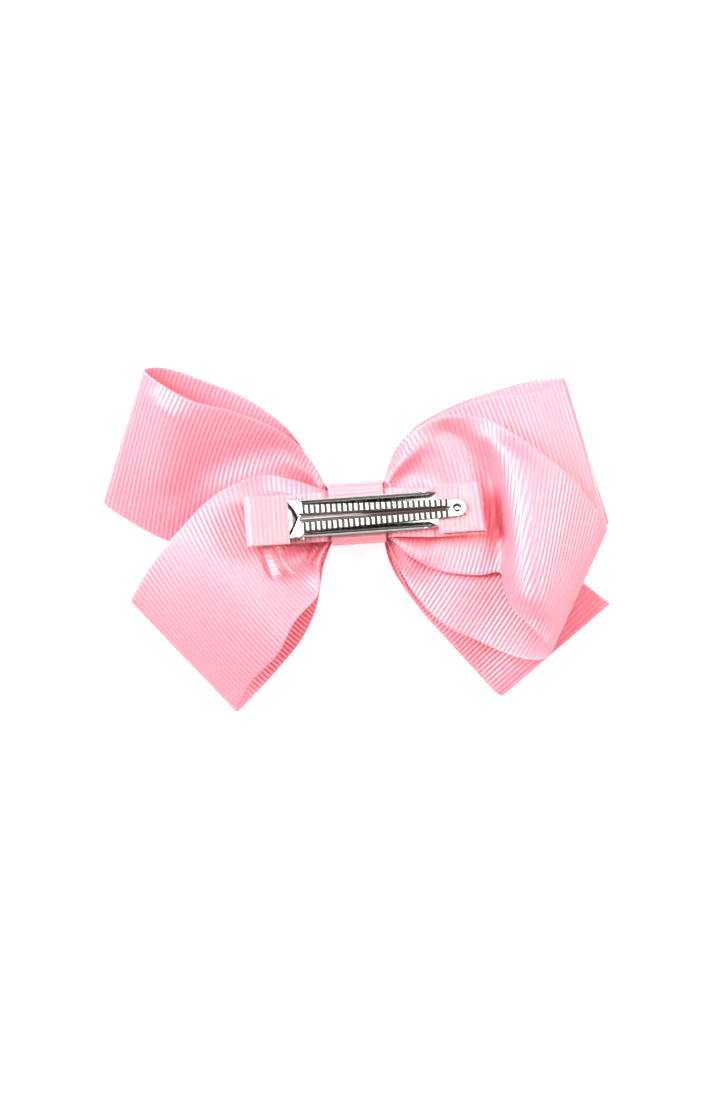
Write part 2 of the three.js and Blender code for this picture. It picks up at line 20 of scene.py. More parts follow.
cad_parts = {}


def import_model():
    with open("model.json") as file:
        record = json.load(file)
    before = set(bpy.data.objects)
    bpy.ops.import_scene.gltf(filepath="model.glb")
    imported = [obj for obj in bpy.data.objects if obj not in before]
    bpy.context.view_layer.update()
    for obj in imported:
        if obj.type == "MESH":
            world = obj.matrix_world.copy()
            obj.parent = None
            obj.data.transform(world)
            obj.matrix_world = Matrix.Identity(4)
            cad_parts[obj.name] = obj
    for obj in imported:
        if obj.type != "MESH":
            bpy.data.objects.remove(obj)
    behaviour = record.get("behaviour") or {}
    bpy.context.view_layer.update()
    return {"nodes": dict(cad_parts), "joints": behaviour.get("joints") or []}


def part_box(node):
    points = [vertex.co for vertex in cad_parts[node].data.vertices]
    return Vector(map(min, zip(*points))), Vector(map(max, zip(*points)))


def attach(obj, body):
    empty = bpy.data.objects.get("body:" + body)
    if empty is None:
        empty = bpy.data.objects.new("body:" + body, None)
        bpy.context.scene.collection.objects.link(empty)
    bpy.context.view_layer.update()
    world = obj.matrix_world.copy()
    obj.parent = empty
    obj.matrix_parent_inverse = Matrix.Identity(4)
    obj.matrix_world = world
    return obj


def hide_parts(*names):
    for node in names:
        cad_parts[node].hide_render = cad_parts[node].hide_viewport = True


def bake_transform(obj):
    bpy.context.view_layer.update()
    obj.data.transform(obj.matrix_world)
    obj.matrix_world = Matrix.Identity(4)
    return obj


LOG = logging.getLogger("hair_bow")

MM = 0.001  # sizes are kept in millimetres, meshes in metres
GAP = 0.3  # clearance between pieces that lie on each other
EDGE_ROUND = 0.35  # a sheet's rounded edge stands out by this share of its thickness
ROOT_TUCK = 0.8  # how far a loop runs on into the knot
UV_NAME = "weave"  # the UV map of every built piece

Grid = np.ndarray
Material = bpy.types.Material
Object = bpy.types.Object
Socket = bpy.types.NodeSocket
Route = tuple[tuple[float, float, float], ...]

# Reach from the root, Y, Z, selvedge angle, its rise (degrees), how far open, sag of the middle.
Station = tuple[float, float, float, float, float, float, float]


# ---------------------------------------------------------------- sizes, in millimetres


@dataclass(frozen=True)
class RibbonStock:
    """One kind of woven ribbon as it comes off the roll."""

    width: float
    thickness: float
    rib_pitch: float
    rib_height: float
    selvedge: float
    rows_per_rib: int = 4

    @property
    def row_step(self) -> float:
        """Distance between two mesh rows."""
        return self.rib_pitch / self.rows_per_rib

    def columns(self, count: int) -> np.ndarray:
        """Places across the ribbon, closer together by the selvedges.

        Args:
            count: Number of places between the selvedges.

        Returns:
            Shares of the width, from 0 to 1.
        """
        edge = self.selvedge / self.width
        inner = np.linspace(edge, 1 - edge, count)
        return np.concatenate(([0.0, edge * 0.5], inner, [1 - edge * 0.5, 1.0]))


WIDE = RibbonStock(width=38.0, thickness=0.36, rib_pitch=1.15, rib_height=0.07, selvedge=0.9)
NARROW = RibbonStock(width=12.0, thickness=0.36, rib_pitch=1.25, rib_height=0.06, selvedge=0.7)
PRESSED = RibbonStock(width=38.0, thickness=0.26, rib_pitch=1.15, rib_height=0.02, selvedge=0.9)
SHRED = RibbonStock(width=1.7, thickness=0.3, rib_pitch=1.25, rib_height=0.03, selvedge=0.2)
WRAP = RibbonStock(width=13.3, thickness=0.36, rib_pitch=1.15, rib_height=0.03, selvedge=0.7)


@dataclass(frozen=True)
class KnotSize:
    """The gathered middle of the bow."""

    length: float = 13.4
    height: float = 14.1
    layer_pitch: float = 1.2
    layers: int = 6
    gathered_width: float = 11.5
    waist_depth: float = 0.8
    wrap_corner: float = 2.0
    narrow: float = 0.5
    legs: int = 6
    pressed: float = 0.3
    pass_length: float = 13.8

    @property
    def depth(self) -> float:
        """All layers together."""
        return self.layer_pitch * self.layers

    @property
    def root(self) -> float:
        """From the knot's centre to where a loop starts."""
        return self.length / 2 + 2 * GAP

    @property
    def band_level(self) -> float:
        """Middle of the band where it passes between knot and wrap."""
        return self.depth / 2 + GAP + self.narrow / 2

    @property
    def wrap_level(self) -> float:
        """Middle of the wrap at the back."""
        return self.band_level + self.narrow + GAP

    @property
    def lap_level(self) -> float:
        """Middle of the wrap's lapped end."""
        return self.wrap_level + self.narrow + GAP


@dataclass(frozen=True)
class ClipSize:
    """The alligator clip, about its hinge pin: u along it to the tip, v across, w up."""

    sheet: float = 0.45
    arm_width: float = 9.2
    arm_reach: float = 45.3
    arm_tab: float = 12.3
    arm_tip_width: float = 7.0
    flange_end: float = 34.0
    flange_taper: float = 4.0
    cheek: float = 1.05
    floor_top: float = -1.3
    corner: float = 1.35
    jaw_reach: float = 41.0
    jaw_root_width: float = 9.2
    jaw_width: float = 6.8
    jaw_tip_width: float = 4.4
    jaw_root: float = 1.0
    jaw_hole: float = 0.85
    plate_under: float = 1.3
    lever_bend: float = 2.0
    lever_length: float = 10.5
    lever_angle: float = 22.0
    teeth: int = 26
    tooth_start: float = 0.9
    tooth_end: float = 36.2
    tooth_rise: float = 0.35
    tooth_depth: float = 0.5
    tooth_cut: float = 0.25
    groove_half: float = 0.86
    groove_taper: float = 0.012
    groove_depth: float = 0.2
    valley_depth: float = 0.45
    bar_half: float = 0.62
    bar_height: float = 0.44
    edge_roll: float = 0.16
    root_sink: float = 0.75
    dimple_depth: float = 0.55
    press: float = 0.3
    lining: float = 0.5
    slope_run: float = 36.6
    pin_from_knot: float = 14.0
    band_front_cut: float = 34.0
    band_rear_cut: float = 3.0
    band_width: float = 12.0

    @property
    def floor_under(self) -> float:
        """Underside of the arm."""
        return self.floor_top - self.sheet

    @property
    def jaw_slope(self) -> float:
        """The prong's slope down to the lining, in radians."""
        last = self.floor_top + 2 * GAP + self.lining + self.tooth_rise
        return math.atan2(self.plate_under - last, self.slope_run)


KNOT = KnotSize()
CLIP = ClipSize()


class Layer(Enum):
    """The two layers of a loop: near is the clip's side."""

    NEAR = 0
    FAR = 1


@dataclass(frozen=True)
class Crease:
    """A valley or ridge pressed along a line over one layer of a loop.

    Points are (X, Y) from the knot's centre. Depth is positive towards the clip's side.
    """

    layer: Layer
    points: tuple[tuple[float, float], ...]
    width: tuple[float, float]
    depth: tuple[float, float]


@dataclass(frozen=True)
class LoopPlan:
    """One loop of the wide ribbon: near layer out, round the fold, far layer back."""

    node: str
    side: int
    near_level: float
    far_level: float
    fold: int
    stations: tuple[Station, ...]
    pleats: float = 2.5
    creases: tuple[Crease, ...] = ()


LOOPS = (
    LoopPlan(
        "loop_upper_left", -1, -0.9, -1.9, 6,
        (
            (5.8, 3.0, -0.8, 99, 13, 0.53, -1),
            (13.9, 4.5, -0.2, 101, 17, 0.85, -2),
            (25.8, 7.2, 0.2, 101, 20, 1, -1),
            (37.5, 10.6, 0.5, 103, 23, 1, 0.5),
            (45.9, 15.1, -0.1, 104, 23, 1, 0.5),
            (51.1, 19.2, -2.2, 109, 23, 0.98, 0),
            (47.6, 20.4, -4.3, 112, 21, 0.96, 0),
            (36.0, 15.6, -5.5, 106, 17, 1, 0),
            (24.1, 11.4, -6.0, 105, 16, 0.95, 0),
            (13.5, 7.9, -5.2, 104, 15, 0.75, 0),
            (5.6, 4.2, -4.0, 101, 13, 0.47, 0),
        ),
        creases=(
            Crease(
                Layer.NEAR,
                ((-10, 5), (-15, 12.5), (-23, 15.5), (-31, 13.5), (-39, 9.5), (-44, 5)),
                (2.0, 5.0), (-1.2, -0.6),
            ),
            Crease(Layer.NEAR, ((-12, 4), (-22, 8.5), (-31, 7), (-38, 2)), (2.2, 4.5), (0.9, 0.6)),
            Crease(Layer.NEAR, ((-45, 32), (-46.5, 18), (-48, 4)), (5.5, 5.5), (1.7, 1.7)),
            Crease(Layer.NEAR, ((-6, 7.5), (-10, 12), (-16, 16), (-24, 20)), (0.9, 2.4), (-1.1, -0.4)),
        ),
    ),
    LoopPlan(
        "loop_lower_left", -1, 2.2, 0.9, 6,
        (
            (4.0, -2.4, 2.3, 76, 3, 0.52, -1.2),
            (9.2, -5.2, 2.8, 64, 0, 0.85, -2.2),
            (17.8, -11.0, 4.4, 59, -4, 0.98, 0),
            (24.6, -19.6, 5.0, 51.5, -2, 1.03, 1.2),
            (32.0, -28.0, 2.5, 49, -1, 1, 1),
            (36.0, -36.0, -2.2, 46, -1, 1, 0),
            (31.9, -32.1, -5.8, 49, -1, 1, 0),
            (23.8, -23.5, -5.5, 52, 3, 1, -0.5),
            (16.6, -15.9, -2.8, 57, 7, 0.98, -0.5),
            (9.8, -9.9, -1.1, 62, 7, 0.79, -0.5),
            (4.6, -5.0, 0.3, 73, 5, 0.51, -0.5),
        ),
        creases=(
            Crease(
                Layer.NEAR, ((-8, -5.5), (-13, -9.5), (-19, -12.5), (-24, -12)), (2.4, 3.6), (-1.3, -1.0),
            ),
        ),
    ),
    LoopPlan(
        "loop_upper_right", 1, 0.5, -0.5, 5,
        (
            (5.2, 4.8, -0.2, 97, 3, 0.68, 0),
            (15.6, 7.0, -1.0, 96, 3, 0.94, -0.5),
            (28.1, 9.9, -2.0, 100, 3, 1, 0),
            (40.8, 12.1, -3.5, 103, 1, 1, 0.5),
            (50.5, 15.8, -7.0, 107, 0, 1, 0),
            (42.5, 15.8, -10.0, 106, -1, 0.98, 0),
            (30.6, 12.5, -9.1, 104, -4, 0.98, 0),
            (17.6, 9.1, -5.4, 98, -2, 0.91, 0),
            (6.2, 6.4, -2.2, 95, 0, 0.69, 0),
        ),
    ),
    LoopPlan(
        "loop_lower_right", 1, 2.5, 1.5, 9,
        (
            (5.5, 3.5, 2.8, 93, 1, 0.76, -0.3),
            (13.2, 4.6, 2.5, 91, 2, 1, -0.8),
            (22.0, 4.2, 2.3, 94, 2, 1.04, -1),
            (27.1, 4.0, 2.8, 94, 3, 1, -1.5),
            (30.1, 0.4, 5.0, 88, 1, 1.04, 1),
            (34.1, -3.9, 7.5, 82, -3, 1.06, 2),
            (39.4, -8.4, 7.8, 77, -8, 1.04, 2),
            (44.1, -13.5, 5.8, 70, -15, 1, 1),
            (47.8, -19.9, 1.8, 64, -19, 0.95, 0),
            (44.6, -21.6, 0.0, 65, -16, 0.9, 0),
            (38.9, -19.8, -0.1, 68, -8, 0.92, 0),
            (30.6, -15.8, -0.8, 67, -3, 0.94, 0),
            (20.6, -12.1, -0.6, 70, -2, 0.89, 0),
            (9.6, -7.5, 0.2, 77, 4, 0.66, 0),
        ),
        creases=(
            Crease(
                Layer.NEAR,
                (
                    (20, 22.5), (22.9, 21), (27.1, 16.5), (30.8, 11.6), (33, 5.5), (34.6, -1.5),
                    (36, -8), (37, -14),
                ),
                (2.8, 2.4), (-1.9, -1.6),
            ),
            Crease(
                Layer.FAR, ((22, 10), (27, 9), (31, 5.5), (34, -1.5), (36, -8), (37, -14)),
                (5.0, 5.0), (-0.7, -0.9),
            ),
            Crease(
                Layer.NEAR, ((30, 24), (38, 14), (41, 3), (42, -8), (43, -20), (45, -30)),
                (4.0, 4.5), (1.6, 2.0),
            ),
            Crease(
                Layer.NEAR, ((5.6, 5.6), (9, 8.2), (13, 11), (16.5, 13.8), (19, 17)),
                (0.9, 2.6), (-1.3, -0.5),
            ),
        ),
    ),
    LoopPlan(
        "loop_front_right", 1, -1.5, -2.5, 6,
        (
            (5.0, -5.8, -4.3, 76, 0, 0.49, 0),
            (13.8, -12.1, -7.6, 67, 0, 0.67, 0),
            (23.4, -18.6, -8.3, 64, 0, 0.81, 0),
            (31.6, -25.2, -8.1, 60, 3, 0.88, 0),
            (38.4, -31.0, -7.3, 52, 7, 0.93, 0),
            (42.8, -34.5, -7.5, 41, 9, 0.95, 0),
            (37.9, -31.0, -9.2, 51, 6, 0.91, 0),
            (31.1, -25.5, -10.2, 60, 3, 0.87, 0),
            (22.9, -18.9, -10.2, 64, 0, 0.8, 0),
            (13.2, -12.2, -9.4, 66, 0, 0.65, 0),
            (4.5, -5.8, -6.0, 76, 0, 0.47, 0),
        ),
    ),
)


# ---------------------------------------------------------------- colours and nodes


def linear(code: str) -> tuple[float, float, float, float]:
    """An sRGB hex colour as linear RGBA.

    Args:
        code: Six hex digits, with or without a hash.

    Returns:
        Red, green, blue and 1.
    """
    digits = code.lstrip("#")
    channels = [int(digits[i:i + 2], 16) / 255 for i in (0, 2, 4)]
    spread = [c / 12.92 if c <= 0.04045 else ((c + 0.055) / 1.055) ** 2.4 for c in channels]
    return (spread[0], spread[1], spread[2], 1.0)


class NodeBuilder:
    """One short way to add and link nodes in any node tree."""

    def __init__(self, tree: bpy.types.NodeTree) -> None:
        """Keeps the tree to build in."""
        self.tree = tree

    def add(self, kind: str, settings: dict | None = None, inputs: dict | None = None) -> bpy.types.Node:
        """Adds a node, sets it and links it.

        Args:
            kind: The node's type, such as ShaderNodeMath.
            settings: Its properties by name.
            inputs: Values or output sockets by input name or index.

        Returns:
            The node.
        """
        node = self.tree.nodes.new(kind)
        for key, value in (settings or {}).items():
            setattr(node, key, value)
        for key, value in (inputs or {}).items():
            if isinstance(value, bpy.types.NodeSocket):
                self.tree.links.new(value, node.inputs[key])
            else:
                node.inputs[key].default_value = value
        return node

    def math(self, operation: str, *values: object) -> Socket:
        """A maths node's output for one to three values or sockets."""
        node = self.add("ShaderNodeMath", {"operation": operation}, dict(enumerate(values)))
        return node.outputs[0]


class NodeTree(NodeBuilder):
    """A new material's node tree."""

    def __init__(self, name: str) -> None:
        """Starts an empty tree.

        Args:
            name: The new material's name.
        """
        self.material = bpy.data.materials.new(name)
        self.material.use_nodes = True
        super().__init__(self.material.node_tree)
        self.tree.nodes.clear()

    def mix(self, factor: object, low: object, high: object) -> Socket:
        """A colour between low and high."""
        node = self.add("ShaderNodeMix", {"data_type": "RGBA"}, {0: factor, 6: low, 7: high})
        return node.outputs[2]

    def finish(self, shader: bpy.types.Node) -> Material:
        """Links a shader to the output and returns the material."""
        self.add("ShaderNodeOutputMaterial", {}, {"Surface": shader.outputs[0]})
        return self.material


class GeometryTree(NodeBuilder):
    """A geometry node group whose named inputs are set before it is first evaluated."""

    def __init__(self, name: str) -> None:
        """Starts a group that takes and gives geometry.

        Args:
            name: The new group's name.
        """
        super().__init__(bpy.data.node_groups.new(name, "GeometryNodeTree"))
        for in_out in ("INPUT", "OUTPUT"):
            self.tree.interface.new_socket("Geometry", in_out=in_out, socket_type="NodeSocketGeometry")
        self.source = self.add("NodeGroupInput")
        self.values: dict[str, object] = {}

    def parameter(self, name: str, kind: str, value: object) -> Socket:
        """A new named input and the value it takes.

        Args:
            name: The input's name.
            kind: Its socket type, such as NodeSocketFloat.
            value: Its value.

        Returns:
            The socket that carries it.
        """
        socket = self.tree.interface.new_socket(name, in_out="INPUT", socket_type=kind)
        self.values[socket.identifier] = value
        return self.source.outputs[name]

    def geometry(self) -> Socket:
        """The geometry that comes in."""
        return self.source.outputs["Geometry"]

    def finish(self, geometry: Socket, finish: Material) -> None:
        """Makes the result real and gives it its finish.

        Args:
            geometry: The socket that carries the result.
            finish: Its material.
        """
        real = self.add("GeometryNodeRealizeInstances", {}, {0: geometry})
        smooth_shaded = self.add("GeometryNodeSetShadeSmooth", {}, {0: real.outputs[0]})
        socket = self.parameter("Finish", "NodeSocketMaterial", finish)
        dressed = self.add("GeometryNodeSetMaterial", {}, {
            "Geometry": smooth_shaded.outputs[0], "Material": socket,
        })
        self.add("NodeGroupOutput", {}, {0: dressed.outputs[0]})

    def bake(self, made: Object) -> Object:
        """Replaces an object's mesh with what the group makes of it.

        Args:
            made: The object.

        Returns:
            The same object, without the modifier.
        """
        modifier = made.modifiers.new(self.tree.name, "NODES")
        modifier.node_group = self.tree
        for identifier, value in self.values.items():
            modifier[identifier] = value
        bpy.context.view_layer.update()
        graph = bpy.context.evaluated_depsgraph_get()
        mesh = bpy.data.meshes.new_from_object(made.evaluated_get(graph))
        made.modifiers.clear()
        made.data = mesh
        mesh.name = made.name
        return made


@dataclass(frozen=True)
class GrosgrainFinish:
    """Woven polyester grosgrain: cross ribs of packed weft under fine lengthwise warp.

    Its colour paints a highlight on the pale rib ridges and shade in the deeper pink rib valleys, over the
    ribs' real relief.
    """

    name: str
    # ridge is a painted highlight colour for the rib ridges, valley a painted shade colour for the rib
    # valleys
    ridge: str
    valley: str
    deep: str
    stock: RibbonStock
    roughness: float = 0.35
    sheen: float = 0.2
    ior: float = 1.56  # polyester
    yarn_pitch: float = 0.21  # a warp yarn is 0.1 mm; drawn twice as coarse so that it shows
    bump_depth: float = 0.08

    def make(self) -> Material:
        """The material. Its UV map holds metres along and across the ribbon.

        Returns:
            The material.
        """
        tree = NodeTree(self.name)
        uv = tree.add("ShaderNodeUVMap", {"uv_map": UV_NAME}).outputs[0]
        apart = tree.add("ShaderNodeSeparateXYZ", {}, {0: uv})
        along, across = apart.outputs[0], apart.outputs[1]
        wander = tree.add("ShaderNodeTexNoise", {}, {"Vector": uv, "Scale": 260.0, "Detail": 3.0}).outputs[0]
        rib = self._wave(tree, along, self.stock.rib_pitch)
        yarn = self._wave(tree, across, self.yarn_pitch)
        # Slubs: uneven yarns, about 1 mm long and 14 mm wide as they run across the ribbon.
        drawn = tree.add("ShaderNodeMapping", {"vector_type": "POINT"}, {0: uv, 3: (900.0, 70.0, 1.0)})
        slub = tree.add(
            "ShaderNodeTexNoise", {}, {"Vector": drawn.outputs[0], "Scale": 1.0, "Detail": 2.0},
        ).outputs[0]
        ridge, valley, deep = (linear(code) for code in (self.ridge, self.valley, self.deep))
        # Painted highlight on the rib ridges and painted shade in the rib valleys.
        body = tree.mix(tree.math("POWER", rib, 0.8), valley, ridge)
        varied = tree.mix(tree.math("MULTIPLY", wander, 0.22), body, deep)
        streaked = tree.mix(tree.math("MULTIPLY", slub, 0.16), varied, ridge)
        # Lighter along both selvedges, towards the ridge colour.
        colour = tree.mix(tree.math("MULTIPLY", self._edge(tree, across), 0.55), streaked, ridge)
        woven = tree.math("ADD", rib, tree.math("MULTIPLY", yarn, 0.16))
        bump = tree.add("ShaderNodeBump", {}, {
            "Strength": 0.6, "Distance": self.bump_depth * MM,
            "Height": tree.math("ADD", woven, tree.math("MULTIPLY", slub, 0.3)),
        })
        shader = tree.add("ShaderNodeBsdfPrincipled", {}, {
            "Base Color": colour,
            "Roughness": self.roughness,
            "Specular IOR Level": 1.0,
            "IOR": self.ior,
            "Sheen Weight": self.sheen,
            "Sheen Roughness": 0.4,
            "Sheen Tint": linear("#ffe9f0"),
            "Subsurface Weight": 0.25,
            "Subsurface Radius": (1.0, 0.32, 0.42),
            "Subsurface Scale": 0.7 * MM,
            "Normal": bump.outputs[0],
        })
        return tree.finish(shader)

    @staticmethod
    def _wave(tree: NodeTree, place: Socket, pitch: float) -> Socket:
        """A wave between 0 and 1 that repeats at a pitch.

        Args:
            tree: The tree to build in.
            place: Distance along the wave, in metres.
            pitch: Its length, in millimetres.

        Returns:
            The wave's socket.
        """
        turns = tree.math("MULTIPLY", place, math.tau / (pitch * MM))
        return tree.math("MULTIPLY_ADD", tree.math("COSINE", turns), 0.5, 0.5)

    def _edge(self, tree: NodeTree, across: Socket) -> Socket:
        """1 on the two selvedges, 0 between them.

        Args:
            tree: The tree to build in.
            across: Distance from one selvedge, in metres.

        Returns:
            The share's socket.
        """
        width = self.stock.width * MM
        inward = tree.math("MINIMUM", across, tree.math("SUBTRACT", width, across))
        share = tree.math("DIVIDE", inward, self.stock.selvedge * MM)
        return tree.math("SUBTRACT", 1.0, tree.math("MINIMUM", share, 1.0))


@dataclass(frozen=True)
class PlatedSteelFinish:
    """Nickel-plated pressed steel, drawn along its length.

    It gives the eye a bright mirror with faint streaks, painted shade in its dips and a painted warm
    reflection in its centre channel.
    """

    name: str
    tint: str
    roughness: float
    streak: float
    smudge: str = "#b9b4b0"
    # Colour of a painted dark, warm reflection of the pink ribbon in the jaw's centre channel.
    groove_reflection: str = "#7d605c"
    # Colour of the painted shade in the dips, cuts and rolled edges.
    painted_shade: str = "#2e2c2d"

    def make(self) -> Material:
        """The material, in object coordinates, with shares of painted shade and of painted warm reflection
        in the UV map.

        Returns:
            The material.
        """
        tree = NodeTree(self.name)
        place = tree.add("ShaderNodeTexCoord").outputs["Object"]
        turn = (0, 0, math.radians(4))
        drawn = tree.add("ShaderNodeMapping", {}, {0: place, 2: turn, 3: (60.0, 900.0, 900.0)}).outputs[0]
        streaks = tree.add(
            "ShaderNodeTexNoise", {}, {"Vector": drawn, "Scale": 1.0, "Detail": 4.0},
        ).outputs[0]
        handled = tree.add(
            "ShaderNodeTexNoise", {}, {"Vector": place, "Scale": 300.0, "Detail": 3.0},
        ).outputs[0]
        uv = tree.add("ShaderNodeUVMap", {"uv_map": UV_NAME}).outputs[0]
        # The UV map's X holds the share of painted shade, its Y the share of painted warm reflection.
        shade_and_reflection = tree.add("ShaderNodeSeparateXYZ", {}, {0: uv})
        painted_shade, groove_reflection = shade_and_reflection.outputs[0], shade_and_reflection.outputs[1]
        clean = tree.mix(tree.math("MULTIPLY", handled, 0.25), linear(self.tint), linear(self.smudge))
        # Painted warm reflection of the pink ribbon in the centre channel.
        with_reflection = tree.mix(tree.math("MULTIPLY", groove_reflection, 0.85), clean, linear(self.groove_reflection))
        # Painted shade in the dips, tooth cuts and rolled edges.
        colour = tree.mix(tree.math("MULTIPLY", painted_shade, 0.92), with_reflection, linear(self.painted_shade))
        # Rougher where shade and reflection are painted.
        recess_roughness = tree.math("MULTIPLY_ADD", tree.math("MAXIMUM", painted_shade, groove_reflection), 0.2, self.roughness)
        rough = tree.math("MULTIPLY_ADD", streaks, self.streak, recess_roughness)
        bump = tree.add("ShaderNodeBump", {}, {"Strength": 0.08, "Distance": 0.03 * MM, "Height": streaks})
        shader = tree.add("ShaderNodeBsdfPrincipled", {}, {
            "Base Color": colour, "Metallic": 1.0, "Roughness": rough, "Normal": bump.outputs[0],
        })
        return tree.finish(shader)


@dataclass(frozen=True)
class PlainFinish:
    """Spun thread or hot-melt glue: one soft colour broken by fine noise, with a little bump."""

    name: str
    low: str
    high: str
    roughness: float
    grain: float

    def make(self) -> Material:
        """The material, in object coordinates.

        Returns:
            The material.
        """
        tree = NodeTree(self.name)
        place = tree.add("ShaderNodeTexCoord").outputs["Object"]
        scale = 1.0 / (self.grain * MM)
        noise = tree.add(
            "ShaderNodeTexNoise", {}, {"Vector": place, "Scale": scale, "Detail": 3.0},
        ).outputs[0]
        bump = tree.add("ShaderNodeBump", {}, {"Strength": 0.4, "Distance": 0.05 * MM, "Height": noise})
        shader = tree.add("ShaderNodeBsdfPrincipled", {}, {
            "Base Color": tree.mix(noise, linear(self.low), linear(self.high)),
            "Roughness": self.roughness,
            "Sheen Weight": 0.2,
            "Normal": bump.outputs[0],
        })
        return tree.finish(shader)


# ---------------------------------------------------------------- geometry helpers


def catmull_rom(points: np.ndarray, shares: np.ndarray) -> np.ndarray:
    """A centripetal Catmull-Rom curve through points.

    Args:
        points: (n, 3) points.
        shares: Places along the curve from 0 to 1, the points evenly spread.

    Returns:
        (len(shares), 3) points.
    """
    padded = np.vstack((2 * points[0] - points[1], points, 2 * points[-1] - points[-2]))
    at = np.clip(shares, 0, 1) * (len(points) - 1)
    index = np.minimum(at.astype(int), len(points) - 2)
    local = (at - index)[:, None]
    p0, p1, p2, p3 = (padded[index + k] for k in range(4))
    step = [np.sqrt(np.linalg.norm(b - a, axis=1))[:, None] for a, b in ((p0, p1), (p1, p2), (p2, p3))]
    start = (p1 - p0) / step[0] - (p2 - p0) / (step[0] + step[1]) + (p2 - p1) / step[1]
    stop = (p2 - p1) / step[1] - (p3 - p1) / (step[1] + step[2]) + (p3 - p2) / step[2]
    start, stop = start * step[1], stop * step[1]
    square = -3 * p1 + 3 * p2 - 2 * start - stop
    cube = 2 * p1 - 2 * p2 + start + stop
    return p1 + start * local + square * local ** 2 + cube * local ** 3


def arc_lengths(line: np.ndarray) -> np.ndarray:
    """Distance along a line of points, from 0."""
    return np.concatenate(([0.0], np.cumsum(np.linalg.norm(np.diff(line, axis=0), axis=1))))


def grid_normals(grid: Grid) -> Grid:
    """Unit normals of a grid.

    Args:
        grid: (rows, columns, 3) points.

    Returns:
        (rows, columns, 3) normals.
    """
    along = np.gradient(grid, axis=0)
    across = np.gradient(grid, axis=1)
    normal = np.cross(along, across)
    return normal / np.maximum(np.linalg.norm(normal, axis=2, keepdims=True), 1e-12)


def smooth(x: np.ndarray) -> np.ndarray:
    """Smoothstep of a value held between 0 and 1."""
    held = np.clip(x, 0, 1)
    return held * held * (3 - 2 * held)


def rounded_route(
    corners: Sequence[tuple[float, float]], radii: Sequence[float], spacing: float,
) -> np.ndarray:
    """A flat route with rounded corners, at even spacing.

    Args:
        corners: The corner points.
        radii: A radius for each inner corner.
        spacing: Distance between the points returned.

    Returns:
        (n, 2) points.
    """
    dense = [np.array(corners[0], float)]
    for before, corner, after, radius in zip(corners, corners[1:], corners[2:], radii):
        c = np.array(corner, float)
        a = (np.array(before, float) - c) / np.linalg.norm(np.array(before, float) - c)
        b = (np.array(after, float) - c) / np.linalg.norm(np.array(after, float) - c)
        half = math.acos(float(np.clip(a @ b, -1, 1))) / 2
        reach = radius / math.tan(half)
        middle = c + (a + b) / np.linalg.norm(a + b) * radius / math.sin(half)
        start, stop = c + a * reach, c + b * reach
        for share in np.linspace(0, 1, 25):
            spoke = (start - middle) * (1 - share) + (stop - middle) * share
            dense.append(middle + spoke / np.linalg.norm(spoke) * radius)
    dense.append(np.array(corners[-1], float))
    line = np.array(dense)
    lengths = arc_lengths(line)
    count = max(int(round(lengths[-1] / spacing)) + 1, 2)
    even = np.linspace(0, lengths[-1], count)
    return np.column_stack([np.interp(even, lengths, line[:, k]) for k in range(2)])


def mesh_object(name: str, vertices: np.ndarray, faces: list, material: Material) -> Object:
    """A smooth-shaded mesh object at the origin.

    Args:
        name: Its name.
        vertices: Points in metres.
        faces: Each face's vertex numbers.
        material: Its finish.

    Returns:
        The object.
    """
    mesh = bpy.data.meshes.new(name)
    mesh.from_pydata(vertices.reshape(-1, 3).tolist(), [], faces)
    mesh.validate()
    mesh.materials.append(material)
    mesh.polygons.foreach_set("use_smooth", [True] * len(mesh.polygons))
    mesh.update()
    made = bpy.data.objects.new(name, mesh)
    bpy.context.scene.collection.objects.link(made)
    return made


def point_uvs(made: Object, uvs: np.ndarray) -> None:
    """Gives each vertex one UV place.

    Args:
        made: The object.
        uvs: (vertices, 2) places.
    """
    layer = made.data.uv_layers.new(name=UV_NAME)
    corner = np.zeros(len(made.data.loops), dtype=np.int32)
    made.data.loops.foreach_get("vertex_index", corner)
    layer.data.foreach_set("uv", uvs[corner].astype(np.float32).ravel())


